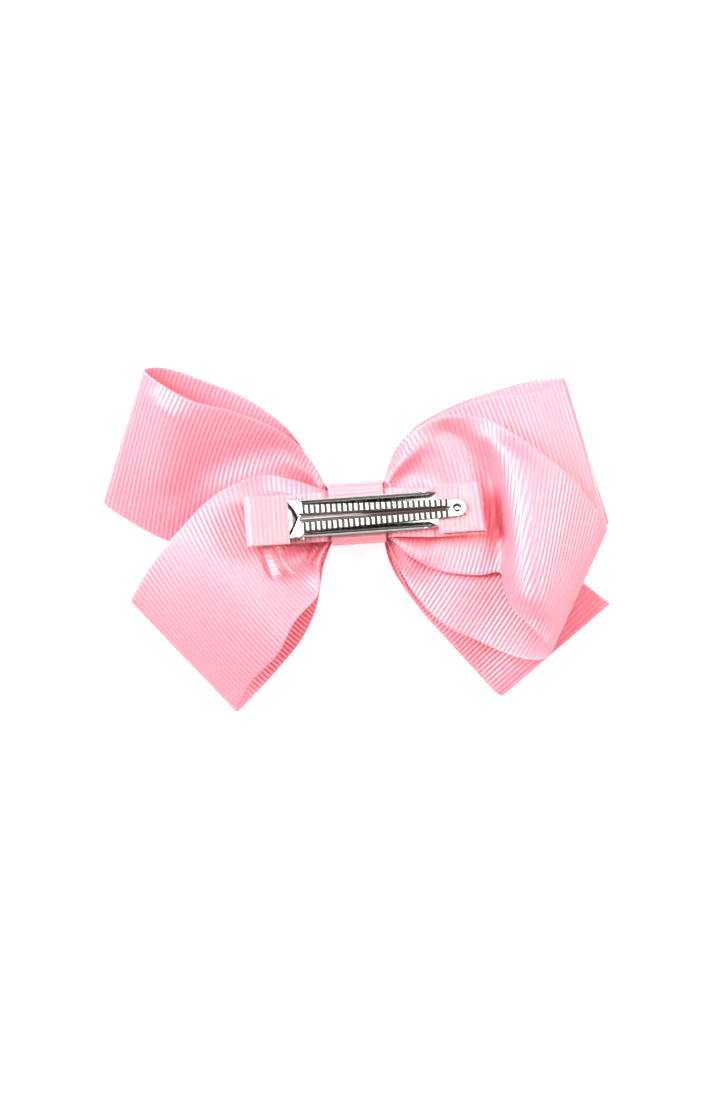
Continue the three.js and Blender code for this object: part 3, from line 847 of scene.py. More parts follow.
def thin_body(name: str, top: Grid, bottom: Grid, uvs: Grid, material: Material) -> Object:
    """A closed thin body between two grids, with rounded long edges.

    Args:
        name: The object's name.
        top: (rows, columns, 3) points in metres.
        bottom: The same for the other face.
        uvs: (rows, columns, 2) places in metres.
        material: Its finish.

    Returns:
        The object.
    """
    rows, columns = top.shape[:2]
    bulge = np.linalg.norm(top[:, :1] - bottom[:, :1], axis=2, keepdims=True) * EDGE_ROUND

    def edge(column: int, inner: int) -> Grid:
        """The line of points that rounds one long edge.

        Args:
            column: The edge's column.
            inner: The column beside it.

        Returns:
            (rows, 1, 3) points.
        """
        middle = (top[:, column:column + 1] + bottom[:, column:column + 1]) / 2
        beside = (top[:, inner:inner + 1] + bottom[:, inner:inner + 1]) / 2
        outward = middle - beside
        return middle + outward / np.maximum(np.linalg.norm(outward, axis=2, keepdims=True), 1e-9) * bulge

    ring = np.concatenate(
        (top, edge(columns - 1, columns - 2), bottom[:, ::-1], edge(0, 1)), axis=1,
    )
    ring_uv = np.concatenate((uvs, uvs[:, -1:], uvs[:, ::-1], uvs[:, :1]), axis=1)
    count = ring.shape[1]
    faces = []
    for i in range(rows - 1):
        a, b = i * count, (i + 1) * count
        faces += [(a + k, b + k, b + (k + 1) % count, a + (k + 1) % count) for k in range(count)]
    for row, flip in ((0, False), (rows - 1, True)):
        base = row * count
        for k in range(columns - 1):
            quad = (base + k, base + k + 1, base + 2 * columns - k - 1, base + 2 * columns - k)
            faces.append(quad[::-1] if flip else quad)
        right = (base + columns - 1, base + columns, base + columns + 1)
        left = (base + 2 * columns, base + 2 * columns + 1, base)
        faces += [right[::-1] if flip else right, left[::-1] if flip else left]
    made = mesh_object(name, ring, faces, material)
    point_uvs(made, ring_uv.reshape(-1, 2))
    outward_faces(made)
    return made


def outward_faces(made: Object) -> None:
    """Turns a closed mesh's faces outwards.

    Args:
        made: The object, whose faces agree with each other.
    """
    mesh = made.data
    points = np.zeros(len(mesh.vertices) * 3)
    mesh.vertices.foreach_get("co", points)
    points = points.reshape(-1, 3)
    mesh.calc_loop_triangles()
    corners = np.zeros(len(mesh.loop_triangles) * 3, dtype=np.int32)
    mesh.loop_triangles.foreach_get("vertices", corners)
    a, b, c = (points[corners.reshape(-1, 3)[:, k]] for k in range(3))
    if np.einsum("ij,ij->i", a, np.cross(b, c)).sum() < 0:
        mesh.flip_normals()
    mesh.update()


def polyline(name: str, points: np.ndarray, outward: np.ndarray | None = None) -> Object:
    """Points in metres joined in a row, for a geometry node group to work on.

    Args:
        name: The object's name.
        points: (n, 3) places.
        outward: (n, 3) way out at each point, for what grows on it.

    Returns:
        The object.
    """
    mesh = bpy.data.meshes.new(name)
    mesh.from_pydata(points.tolist(), [(i, i + 1) for i in range(len(points) - 1)], [])
    if outward is not None:
        layer = mesh.attributes.new("outward", "FLOAT_VECTOR", "POINT")
        layer.data.foreach_set("vector", outward.astype(np.float32).ravel())
    made = bpy.data.objects.new(name, mesh)
    bpy.context.scene.collection.objects.link(made)
    return made


@dataclass(frozen=True)
class ThreadStock:
    """A sewing thread: plies laid round each other."""

    plies: int
    ply_radius: float
    lay: float

    def along(self, name: str, points: np.ndarray, finish: Material) -> Object:
        """The thread along a line.

        Args:
            name: The object's name.
            points: (n, 3) places of its middle, in metres.
            finish: Its material.

        Returns:
            The object.
        """
        tree = GeometryTree(name + "_plies")
        radius = tree.parameter("Ply radius", "NodeSocketFloat", self.ply_radius * MM)
        lay = tree.parameter("Lay length", "NodeSocketFloat", self.lay * MM)
        line = tree.add("GeometryNodeMeshToCurve", {}, {0: tree.geometry()})
        length = tree.add("GeometryNodeSplineParameter").outputs["Length"]
        turned = tree.math("MULTIPLY", tree.math("DIVIDE", length, lay), math.tau)
        tilted = tree.add("GeometryNodeSetCurveTilt", {}, {"Curve": line.outputs[0], "Tilt": turned})
        circle = tree.add("GeometryNodeCurvePrimitiveCircle", {}, {"Resolution": 8, "Radius": radius})
        section = tree.add("GeometryNodeJoinGeometry")
        apart = tree.math("MULTIPLY", radius, 1.0 / math.sin(math.pi / self.plies))
        for ply in range(self.plies):
            angle = math.tau * ply / self.plies
            place = tree.add("ShaderNodeCombineXYZ", {}, {
                0: tree.math("MULTIPLY", apart, math.cos(angle)),
                1: tree.math("MULTIPLY", apart, math.sin(angle)),
            })
            moved = tree.add("GeometryNodeTransform", {}, {
                "Geometry": circle.outputs[0], "Translation": place.outputs[0],
            })
            tree.tree.links.new(moved.outputs[0], section.inputs[0])
        swept = tree.add("GeometryNodeCurveToMesh", {}, {
            "Curve": tilted.outputs[0], "Profile Curve": section.outputs[0], "Fill Caps": True,
        })
        tree.finish(swept.outputs[0], finish)
        return tree.bake(polyline(name, points))


@dataclass(frozen=True)
class Fringe:
    """Cut fibre ends that stand out of an edge."""

    reach: float
    radius: float
    spread: float
    seed: int

    def on(self, name: str, points: np.ndarray, outward: np.ndarray, finish: Material) -> Object:
        """One fibre on each point.

        Args:
            name: The object's name.
            points: (n, 3) roots in metres.
            outward: (n, 3) the way each fibre leans.
            finish: Its material.

        Returns:
            The object.
        """
        tree = GeometryTree(name + "_fibres")
        reach = tree.parameter("Fibre length", "NodeSocketFloat", self.reach * MM)
        radius = tree.parameter("Fibre radius", "NodeSocketFloat", self.radius * MM)
        seed = tree.parameter("Seed", "NodeSocketInt", self.seed)
        end = tree.add("ShaderNodeCombineXYZ", {}, {1: tree.math("MULTIPLY", reach, 0.18), 2: reach})
        bend = tree.add("ShaderNodeCombineXYZ", {}, {
            0: tree.math("MULTIPLY", reach, 0.2), 2: tree.math("MULTIPLY", reach, 0.55),
        })
        fibre = tree.add("GeometryNodeCurveQuadraticBezier", {}, {
            "Resolution": 6, "Start": (0, 0, 0), "Middle": bend.outputs[0], "End": end.outputs[0],
        })
        circle = tree.add("GeometryNodeCurvePrimitiveCircle", {}, {"Resolution": 5, "Radius": radius})
        body = tree.add("GeometryNodeCurveToMesh", {}, {
            "Curve": fibre.outputs[0], "Profile Curve": circle.outputs[0], "Fill Caps": True,
        })
        way = tree.add(
            "GeometryNodeInputNamedAttribute", {"data_type": "FLOAT_VECTOR"}, {"Name": "outward"},
        )
        stray = tree.add("FunctionNodeRandomValue", {"data_type": "FLOAT_VECTOR"}, {
            "Min": (-self.spread,) * 3, "Max": (self.spread,) * 3, "Seed": seed,
        })
        lean = tree.add(
            "ShaderNodeVectorMath", {"operation": "ADD"}, {0: way.outputs[0], 1: stray.outputs[0]},
        )
        turned = tree.add("FunctionNodeAlignRotationToVector", {"axis": "Z"}, {"Vector": lean.outputs[0]})
        grown = tree.add("FunctionNodeRandomValue", {"data_type": "FLOAT_VECTOR"}, {
            "Min": (0.45,) * 3, "Max": (1.15,) * 3, "Seed": tree.math("ADD", seed, 1),
        })
        placed = tree.add("GeometryNodeInstanceOnPoints", {}, {
            "Points": tree.geometry(), "Instance": body.outputs[0], "Rotation": turned.outputs[0],
            "Scale": grown.outputs[0],
        })
        tree.finish(placed.outputs[0], finish)
        return tree.bake(polyline(name, points, outward))


# ---------------------------------------------------------------- ribbons


def woven_strip(
    name: str,
    middle: Grid,
    stock: RibbonStock,
    columns: np.ndarray,
    along: np.ndarray,
    material: Material,
) -> Object:
    """A ribbon with its cross ribs as real relief on both faces.

    Args:
        name: The object's name.
        middle: (rows, columns, 3) middle surface in millimetres.
        stock: The ribbon.
        columns: Places across, from 0 to 1.
        along: Distance of each row along the ribbon, in millimetres.
        material: Its finish.

    Returns:
        The object, in metres.
    """
    normal = grid_normals(middle)
    rib = np.cos(along / stock.rib_pitch * math.tau)[:, None]
    inward = np.minimum(columns, 1 - columns)[None, :] * stock.width
    plain = smooth(inward / stock.selvedge)
    lift = stock.thickness / 2 + stock.rib_height * rib * (0.35 + 0.65 * plain)
    top = middle + normal * lift[..., None]
    bottom = middle - normal * lift[..., None]
    uvs = np.stack(np.meshgrid(along, columns * stock.width, indexing="ij"), axis=-1)
    return thin_body(name, top * MM, bottom * MM, uvs * MM, material)


class RibbonLoop:
    """One loop of the wide ribbon."""

    def __init__(self, plan: LoopPlan, knot: Vector, tilt: float, finish: Material) -> None:
        """Builds the loop.

        Args:
            plan: Its route.
            knot: The knot's centre, in metres.
            tilt: The knot's turn about Z, in radians.
            finish: The wide ribbon's material.
        """
        self.plan = plan
        self.tilt = tilt
        self.columns = WIDE.columns(30)
        grid, self.along, shares = self._woven(self._edges())
        fold_share = plan.fold / (len(plan.stations) + 1)
        self.near = 1 - smooth((shares - fold_share) / 0.06 + 0.5)
        grid = self._gathered(grid)
        grid = self._creased(grid)
        self.length = float(self.along[-1])
        placed = grid + np.array(knot) / MM
        self.object = woven_strip(plan.node + "_ribbon", placed, WIDE, self.columns, self.along, finish)

    def _edges(self) -> list[np.ndarray]:
        """The lines that carry the loop, with its two roots added.

        Returns:
            Low selvedge, middle and high selvedge through all stations.
        """
        plan = self.plan
        share = KNOT.gathered_width / WIDE.width
        slip = plan.side * math.sin(self.tilt) * KNOT.root
        turn = 90 + plan.side * math.degrees(self.tilt)
        roots = [
            (-ROOT_TUCK, slip, level * KNOT.layer_pitch, turn, 0.0, share, 0.0)
            for level in (plan.near_level, plan.far_level)
        ]
        lines = [roots[0], *plan.stations, roots[1]]
        edges = []
        for edge in (-1, 0, 1):
            points = []
            for reach, y, z, angle, rise, open_share, sag in lines:
                half = edge * open_share * WIDE.width / 2
                flat = math.cos(math.radians(rise)) * half
                points.append((
                    plan.side * (KNOT.root + reach + math.cos(math.radians(angle)) * flat),
                    y + math.sin(math.radians(angle)) * flat,
                    z + math.sin(math.radians(rise)) * half + (sag if edge == 0 else 0),
                ))
            edges.append(np.array(points))
        return edges

    def _woven(self, edges: list[np.ndarray]) -> tuple[Grid, np.ndarray, np.ndarray]:
        """The plain surface with its rows as the weft lies: level with each other on every thread.

        Args:
            edges: Low selvedge, middle and high selvedge through all stations.

        Returns:
            The surface, each row's distance along the ribbon and its share of the middle's curve.
        """
        dense = np.linspace(0, 1, 900)
        low, middle, high = (catmull_rom(edge, dense) for edge in edges)
        plain = self._across(low, middle, high)
        steps = np.linalg.norm(np.diff(plain, axis=0), axis=2)
        lengths = np.vstack((np.zeros(plain.shape[1]), np.cumsum(steps, axis=0)))
        total = float(lengths[-1].mean())
        rows = int(total / WIDE.row_step) + 1
        fractions = np.linspace(0, 1, rows)
        grid = np.empty((rows, plain.shape[1], 3))
        for column in range(plain.shape[1]):
            place = lengths[:, column] / lengths[-1, column]
            for axis in range(3):
                grid[:, column, axis] = np.interp(fractions, place, plain[:, column, axis])
        centre = plain.shape[1] // 2
        shares = np.interp(fractions, lengths[:, centre] / lengths[-1, centre], dense)
        return grid, fractions * total, shares

    def _across(self, low: np.ndarray, middle: np.ndarray, high: np.ndarray) -> Grid:
        """The plain surface between the selvedges, bowed by each station's sag.

        Args:
            low: (n, 3) low selvedge.
            middle: (n, 3) middle.
            high: (n, 3) high selvedge.

        Returns:
            (n, columns, 3) points.
        """
        t = self.columns[None, :, None]
        chord = low[:, None] * (1 - t) + high[:, None] * t
        rise = (middle - (low + high) / 2)[:, None]
        return chord + rise * 4 * t * (1 - t)

    def _gathered(self, grid: Grid) -> Grid:
        """Folds the width that has no room near the knot into soft pleats.

        Args:
            grid: The plain surface.

        Returns:
            The pleated surface.
        """
        spans = np.linalg.norm(np.diff(grid, axis=1), axis=2).sum(axis=1)
        chord = np.linalg.norm(grid[:, -1] - grid[:, 0], axis=1)
        slack = np.clip(WIDE.width / spans - 1, 0, None)
        waves = self.plan.pleats
        ideal = 2 * np.sqrt(slack) * chord / (math.tau * waves)
        distance = np.minimum(self.along, self.along[-1] - self.along)
        most = 0.5 + 0.09 * distance
        amplitude = np.minimum(ideal, most) * (1 - smooth((distance - 6) / 15))
        t = self.columns[None, :]
        wave = np.sin(math.tau * waves * t + 0.9)
        return grid + grid_normals(grid) * self._up(grid) * (amplitude[:, None] * wave)[..., None]

    def _up(self, grid: Grid) -> np.ndarray:
        """The sign that turns a loop's normals towards the clip's side.

        Args:
            grid: The surface.

        Returns:
            (rows, 1, 1) of -1 or 1.
        """
        middle = grid_normals(grid)[:, grid.shape[1] // 2, 2]
        near = self.near > 0.5
        sign = 1.0 if np.median(middle[near]) > 0 else -1.0
        return np.full((len(grid), 1, 1), sign)

    def _creased(self, grid: Grid) -> Grid:
        """Presses the plan's creases into the surface.

        Args:
            grid: The surface.

        Returns:
            The creased surface, its selvedges unmoved.
        """
        normal = grid_normals(grid) * self._up(grid)
        shift = np.zeros(grid.shape[:2])
        for crease in self.plan.creases:
            mask = self.near if crease.layer is Layer.NEAR else 1 - self.near
            sign = 1.0 if crease.layer is Layer.NEAR else -1.0
            shift += sign * mask[:, None] * crease_shift(grid[..., :2], crease)
        inward = np.minimum(self.columns, 1 - self.columns)[None, :] * WIDE.width
        return grid + normal * (shift * smooth(inward / 5.0))[..., None]


def crease_shift(places: np.ndarray, crease: Crease) -> np.ndarray:
    """How far a crease moves each place.

    Args:
        places: (rows, columns, 2) X and Y from the knot's centre.
        crease: The crease.

    Returns:
        (rows, columns) distances.
    """
    points = np.array(crease.points, float)
    line = catmull_rom(
        np.column_stack((points, np.zeros(len(points)))), np.linspace(0, 1, 60),
    )[:, :2]
    offset = places[:, :, None, :] - line[None, None]
    squared = (offset ** 2).sum(axis=3)
    nearest = squared.argmin(axis=2)
    share = nearest / (len(line) - 1)
    distance = np.sqrt(squared.min(axis=2))
    width = crease.width[0] + (crease.width[1] - crease.width[0]) * share
    depth = crease.depth[0] + (crease.depth[1] - crease.depth[0]) * share
    ends = smooth(share / 0.12 + 0.2) * smooth((1 - share) / 0.25 + 0.1)
    return depth * ends * np.exp(-(distance / width) ** 2)


class Knot:
    """The gathered layers, their binding and the centre wrap."""

    def __init__(self, centre: Vector, tilt: float, wide: Material, narrow: Material) -> None:
        """Builds the knot's layers and its wrap.

        Args:
            centre: The knot's centre, in metres.
            tilt: Its turn about Z, in radians.
            wide: The wide ribbon's material.
            narrow: The wrap's material.
        """
        self.place = Matrix.Translation(centre) @ Matrix.Rotation(tilt, 4, "Z")
        self.layers = self._layers(wide)
        self.wrap = self._wrap(narrow)

    def placed(self, grid: Grid) -> Grid:
        """Points about the knot's centre, moved into the bow's frame, in millimetres."""
        matrix = np.array(self.place)
        return grid @ matrix[:3, :3].T + matrix[:3, 3] / MM

    def _layers(self, finish: Material) -> Object:
        """All passes of the wide ribbon, folded as one pack into upright pleats.

        Args:
            finish: The wide ribbon's material.

        Returns:
            The pack.
        """
        end = KNOT.root - 1.1
        across = np.arange(-end, end + 1e-6, WIDE.row_step)
        drawn = 1 - smooth((np.abs(across) - 1.2) / 3.5)
        squeeze = (1 - 2 * KNOT.waist_depth / KNOT.depth * drawn)[:, None]
        pieces = []
        for layer in range(KNOT.layers):
            section = self._pleats((layer - (KNOT.layers - 1) / 2) * KNOT.pressed)
            y = section[None, :, 0] * squeeze
            z = section[None, :, 1] * squeeze
            x = np.repeat(across[:, None], len(section), axis=1)
            grid = self.placed(np.stack((x, y, z), axis=-1))
            columns = arc_lengths(section) / arc_lengths(section)[-1]
            strip = woven_strip(f"layer_{layer}", grid, PRESSED, columns, across - across[0], finish)
            pieces.append(strip)
        return joined("gathered_knot_ribbon", pieces)

    @staticmethod
    def _pleats(offset: float) -> np.ndarray:
        """One layer's section through the knot: upright legs joined by round turns.

        Args:
            offset: The layer's distance from the middle of the pack.

        Returns:
            (n, 2) points across the knot and up.
        """
        legs = KNOT.legs
        pitch = KNOT.gathered_width / legs
        turn = pitch / 2
        pack = KNOT.pressed * KNOT.layers
        half = (KNOT.depth - pack - pitch) / 2
        points = []
        for leg in range(legs):
            y = (leg - (legs - 1) / 2) * pitch
            rising = 1 if leg % 2 == 0 else -1
            for share in np.linspace(-1, 1, 6):
                points.append((y - rising * offset, rising * half * share))
            if leg < legs - 1:
                radius = turn + rising * offset
                for angle in np.linspace(0, math.pi, 9)[1:-1]:
                    points.append((
                        y + turn - math.cos(angle) * radius, rising * (half + math.sin(angle) * radius),
                    ))
        return np.array(points)

    def _wrap(self, finish: Material) -> Object:
        """The ring of narrow ribbon, its end lapped over its start at the back.

        Args:
            finish: The wrap's material.

        Returns:
            The ring.
        """
        clear = GAP + KNOT.narrow / 2
        left, right = -(KNOT.height / 2 + clear), KNOT.height / 2 + clear
        front = -(KNOT.depth / 2 + clear)
        lap = 0.42 * KNOT.height / 2
        r = KNOT.wrap_corner
        route = rounded_route(
            (
                (lap, KNOT.wrap_level), (left, KNOT.wrap_level), (left, front), (right, front),
                (right, KNOT.lap_level), (-lap, KNOT.lap_level),
            ),
            (r, r, r, r), WRAP.row_step,
        )
        columns = WRAP.columns(12)
        x = np.repeat((columns[None, :] - 0.5) * WRAP.width, len(route), axis=0)
        y = np.repeat(-route[:, :1], len(columns), axis=1)
        z = np.repeat(route[:, 1:], len(columns), axis=1)
        along = arc_lengths(route)
        self.wrap_length = float(along[-1])
        grid = self.placed(np.stack((x, y, z), axis=-1))
        return woven_strip("centre_wrap_ribbon", grid, WRAP, columns, along, finish)


def joined(name: str, parts: list[Object]) -> Object:
    """Several meshes as one object, their UV map and materials kept.

    Args:
        name: Its name.
        parts: The meshes, which it takes the place of.

    Returns:
        The object.
    """
    with bpy.context.temp_override(
        active_object=parts[0], object=parts[0], selected_objects=parts, selected_editable_objects=parts,
    ):
        bpy.ops.object.join()
    parts[0].name = name
    parts[0].data.name = name
    return parts[0]


# ---------------------------------------------------------------- clip


class Clip:
    """The alligator clip and the narrow ribbon that covers it."""

    def __init__(self, place: Matrix, steel: Material, narrow: Material) -> None:
        """Builds the arm, the jaw and their ribbon.

        Args:
            place: The hinge pin's frame, in metres.
            steel: The plated steel.
            narrow: The narrow ribbon's material.
        """
        self.place = place
        self.arm = self._arm(steel)
        self.jaw = self._jaw(steel)
        self.band = self._band(narrow)

    def placed(self, grid: Grid) -> Grid:
        """Points about the hinge pin, moved into the bow's frame, in millimetres."""
        matrix = np.array(self.place)
        return grid @ matrix[:3, :3].T + matrix[:3, 3] / MM

    def _sheet(self, name: str, grid: Grid, finish: Material, shade_and_reflection: np.ndarray) -> Object:
        """A pressed sheet under a grid of its upper face.

        Args:
            name: The object's name.
            grid: (rows, columns, 3) upper face about the pin.
            finish: Its finish.
            shade_and_reflection: (rows, columns, 2) shares of painted shade and of painted warm reflection,
                kept in its UV map.

        Returns:
            The object.
        """
        lower = grid - grid_normals(grid) * CLIP.sheet
        return thin_body(name, self.placed(grid) * MM, self.placed(lower) * MM, shade_and_reflection, finish)

    def _arm(self, finish: Material) -> Object:
        """A channel with rounded lower corners, a flat squeeze tab behind and a round tip.

        Args:
            finish: The plated steel.

        Returns:
            The arm.
        """
        half = CLIP.arm_width / 2 - CLIP.sheet
        u = np.concatenate((
            np.linspace(-CLIP.arm_tab, -2.2, 14), np.linspace(-1.6, CLIP.flange_end + 1, 70),
            np.linspace(CLIP.flange_end + 1.6, CLIP.arm_reach, 22),
        ))
        s = np.linspace(-1, 1, 41)
        grid = np.zeros((len(u), len(s), 3))
        for i, at in enumerate(u):
            rise = self._flange(at)
            outer = CLIP.arm_width / 2 - self._taper(at)
            bend = CLIP.corner * min(rise, 1.0)
            flat = min(half, outer) - bend
            width, height = self._channel(s, flat, bend, max(rise - CLIP.corner, 0.0), rise)
            grid[i, :, 0] = at
            grid[i, :, 1] = width
            grid[i, :, 2] = CLIP.floor_top + height
        return self._sheet("clip_arm_steel", grid, finish, np.zeros((*grid.shape[:2], 2)))

    @staticmethod
    def _flange(at: float) -> float:
        """The flange's height above the floor.

        Args:
            at: Place along the arm.

        Returns:
            The height of its middle surface, which leaves room for its rounded edge.
        """
        full = CLIP.cheek - CLIP.floor_top - EDGE_ROUND * CLIP.sheet
        start = float(smooth(np.array((at + 2.2) / 1.4)))
        stop = 1 - float(smooth(np.array((at - CLIP.flange_end + CLIP.flange_taper) / CLIP.flange_taper)))
        return full * start * stop

    @staticmethod
    def _taper(at: float) -> float:
        """How far the arm's side has drawn in towards its tip, or at the tab's corners.

        Args:
            at: Place along the arm.

        Returns:
            The distance from its full half width.
        """
        run = CLIP.arm_reach - CLIP.arm_tip_width / 2 - CLIP.flange_end
        narrowing = (CLIP.arm_width - CLIP.arm_tip_width) / 2
        past = min(max((at - CLIP.flange_end) / run, 0.0), 1.0)
        drawn = narrowing * past
        tip = at - (CLIP.arm_reach - CLIP.arm_tip_width / 2)
        if tip > 0:
            radius = CLIP.arm_tip_width / 2
            drawn = CLIP.arm_width / 2 - math.sqrt(max(radius ** 2 - tip ** 2, 0.04))
        corner = -CLIP.arm_tab + 1 - at
        if corner > 0:
            drawn = 1 - math.sqrt(max(1 - corner ** 2, 0.0))
        return drawn

    @staticmethod
    def _channel(
        s: np.ndarray, flat: float, bend: float, wall: float, rise: float,
    ) -> tuple[np.ndarray, np.ndarray]:
        """Places on a channel's section.

        Args:
            s: Shares of its developed half width, from -1 to 1.
            flat: Half width of its flat floor.
            bend: Radius of its lower corners.
            wall: Height of its walls over the corners.
            rise: Height of the whole wall, 0 for a plain tab.

        Returns:
            Places across and heights.
        """
        quarter = bend * math.pi / 2
        reach = np.abs(s) * (flat + quarter + wall + 1e-6)
        on_bend = np.clip(reach - flat, 0, quarter) / max(bend, 1e-6)
        on_wall = np.clip(reach - flat - quarter, 0, None)
        width = np.minimum(reach, flat) + bend * np.sin(on_bend)
        height = bend * (1 - np.cos(on_bend)) + on_wall
        if rise < 1e-3:
            height = height * 0
        return np.sign(s) * width, height

    def _jaw(self, finish: Material) -> Object:
        """The toothed prong, stepping up over its root into the squeeze lever.

        Args:
            finish: The plated steel.

        Returns:
            The jaw.
        """
        end = CLIP.lever_bend + math.cos(math.radians(CLIP.lever_angle)) * CLIP.lever_length
        u = np.concatenate((
            np.linspace(-end, -4.2, 10), np.arange(-4.0, CLIP.jaw_reach - 0.05, 0.111), [CLIP.jaw_reach],
        ))
        s = np.linspace(-1, 1, 61)
        grid = np.zeros((len(u), len(s), 3))
        grid[..., 0] = u[:, None]
        half = np.array([self._jaw_half(at) for at in u])
        grid[..., 1] = half[:, None] * s[None, :]
        # The jaw carries its shares of painted shade and painted warm reflection in its UV map.
        grid[..., 2], painted_shade, groove_reflection = self._jaw_height(grid[..., 0], grid[..., 1], half[:, None])
        return self._sheet("clip_jaw_steel", grid, finish, np.stack((painted_shade, groove_reflection), axis=-1))

    @staticmethod
    def _jaw_half(at: float) -> float:
        """Half the jaw's width.

        Args:
            at: Place along it.

        Returns:
            The half width, round at the tip.
        """
        tip = CLIP.jaw_tip_width / 2
        if at <= -0.4:
            return CLIP.jaw_root_width / 2
        if at <= CLIP.jaw_root:
            share = (at + 0.4) / (CLIP.jaw_root + 0.4)
            return CLIP.jaw_root_width / 2 + (CLIP.jaw_width - CLIP.jaw_root_width) / 2 * share
        over = at - (CLIP.jaw_reach - tip)
        if over > 0:
            return math.sqrt(max(tip ** 2 - over ** 2, 0.01))
        run = (at - CLIP.jaw_root) / (CLIP.jaw_reach - tip - CLIP.jaw_root)
        return CLIP.jaw_width / 2 + (tip - CLIP.jaw_width / 2) * run

    @staticmethod
    def _jaw_height(u: np.ndarray, v: np.ndarray, half: np.ndarray) -> tuple[np.ndarray, ...]:
        """The jaw's pressed relief.

        Args:
            u: (rows, columns) places along the jaw.
            v: (rows, columns) places across it.
            half: (rows, 1) half widths.

        Returns:
            Height of the upper face over the pin, and the shares of painted shade in its dips and of
            painted warm reflection in its centre channel.
        """
        top = CLIP.plate_under + CLIP.sheet
        plate = top - np.tan(CLIP.jaw_slope) * u
        lever = (
            top + np.tan(CLIP.jaw_slope) * CLIP.lever_bend
            + np.tan(math.radians(CLIP.lever_angle)) * (-CLIP.lever_bend - u)
        )
        height = np.where(u < -CLIP.lever_bend, lever, plate)
        aside = np.abs(v)
        press = CLIP.press

        # Two rows of teeth, cut in the edges outside the groove.
        pitch = (CLIP.tooth_end - CLIP.tooth_start) / CLIP.teeth
        place = np.mod((u - CLIP.tooth_start) / pitch, 1.0)
        cut = np.exp(-(np.minimum(place, 1 - place) * pitch / CLIP.tooth_cut) ** 2)
        toothed = smooth((u - CLIP.tooth_start + 0.5) / press) * smooth((CLIP.tooth_end + 0.5 - u) / press)
        inner_edge = CLIP.groove_half - CLIP.groove_taper * u
        row = smooth((aside - inner_edge) / press)
        height = height - CLIP.tooth_depth * cut * row * toothed

        # The groove between them, a valley that closes to a point before the tip.
        groove_end = CLIP.tooth_end + 1.1
        channel = smooth((u + 0.4) / 0.8) * smooth((groove_end - u) / 1.2)
        point = np.clip((groove_end - u) / 1.6, 0, 1)
        valley = np.clip(1 - aside / (inner_edge * point + 0.25), 0, 1)
        depth = CLIP.groove_depth + CLIP.valley_depth * valley
        height = height - depth * (1 - row) * channel * (valley > 0)

        # A low bar in the groove's rear half, and the edges rolled down.
        low_bar = 1 - smooth((u - 6) / 14)
        bar = smooth((CLIP.bar_half - aside - CLIP.groove_taper * u) / 0.34) * low_bar
        bar = bar * smooth((u + 0.6) / 0.7)
        height = height + CLIP.bar_height * bar * channel
        roll = smooth((aside / half - 0.93) / 0.07) * smooth((u - 0.4) / 1.0)
        height = height - CLIP.edge_roll * roll

        # The sunk root behind the teeth, and the stamped dimple at the tip.
        root = -0.5 - 2.6 * (aside / (CLIP.jaw_root_width / 2)) ** 1.3
        sunk = smooth((root - u) / 0.9)
        height = height - CLIP.root_sink * sunk * smooth((u + 4.4) / 1.2)
        dimple = np.hypot(u - (CLIP.jaw_reach - CLIP.jaw_tip_width / 2), v)
        hollow = smooth((CLIP.jaw_hole + 0.2 - dimple) / 0.6)

        # Painted shade: darker in the tooth cuts, along the rows' edges, on the rolled edges, round the
        # dimple and over the sunk root.
        ends = 4 * row * (1 - row) * toothed
        wall = 4 * hollow * (1 - hollow)
        painted_shade = np.clip(cut * row * toothed * 1.2 + 0.8 * ends + roll * 0.8 + wall + 0.75 * sunk, 0, 1)
        # Painted warm reflection of the pink ribbon along the centre channel, off the bar.
        groove_reflection = channel * (valley > 0) * (1 - row) * (1 - bar)
        return height - CLIP.dimple_depth * hollow, painted_shade, groove_reflection

    def _band(self, finish: Material) -> Object:
        """Narrow ribbon over the lever, under the arm and round its tip into the mouth.

        Args:
            finish: The narrow ribbon's material.

        Returns:
            The band.
        """
        clear = GAP + KNOT.narrow / 2
        angle = math.radians(CLIP.lever_angle)
        bend_height = CLIP.plate_under + math.tan(CLIP.jaw_slope) * CLIP.lever_bend + CLIP.sheet

        def over(back: float) -> float:
            """Height of the band over the lever, this far behind the pin."""
            return bend_height + (back - CLIP.lever_bend) * math.tan(angle) + clear / math.cos(angle)

        under = CLIP.floor_under - clear
        mouth = CLIP.floor_top + clear
        dip = self.dip()
        rear = CLIP.arm_tab + 2 * clear
        front = CLIP.arm_reach + clear
        start = CLIP.pin_from_knot - WRAP.width / 2 - GAP
        stop = CLIP.pin_from_knot + WRAP.width / 2 + GAP
        turn = (mouth - under) / 2
        route = rounded_route(
            (
                (-CLIP.band_rear_cut, over(CLIP.band_rear_cut)), (-rear, over(rear)), (-rear, under),
                (start - 1.6, under), (start, -dip), (stop, -dip), (stop + 1.6, under),
                (front, under), (front, mouth), (CLIP.band_front_cut, mouth),
            ),
            (1.0, 1.0, 0.8, 0.8, 0.8, 0.8, turn * 0.98, turn * 0.98), NARROW.row_step,
        )
        columns = NARROW.columns(12)
        u = np.repeat(route[:, :1], len(columns), axis=1)
        v = np.repeat((columns[None, :] - 0.5) * NARROW.width, len(route), axis=0)
        w = np.repeat(route[:, 1:], len(columns), axis=1)
        along = arc_lengths(route)
        self.band_length = float(along[-1])
        # The front fold lies a little askew, and the outer layer has slipped sideways.
        u = u - (0.35 + 0.083 * (v + NARROW.width / 2)) * smooth((u - CLIP.arm_reach + 6) / 5)
        v = v - 0.8 * smooth((u - 22) / 12) * smooth((mouth - w) / (mouth - under))
        grid = self.placed(np.stack((u, v, w), axis=-1))
        return woven_strip("clip_band_ribbon", grid, NARROW, columns, along, finish)

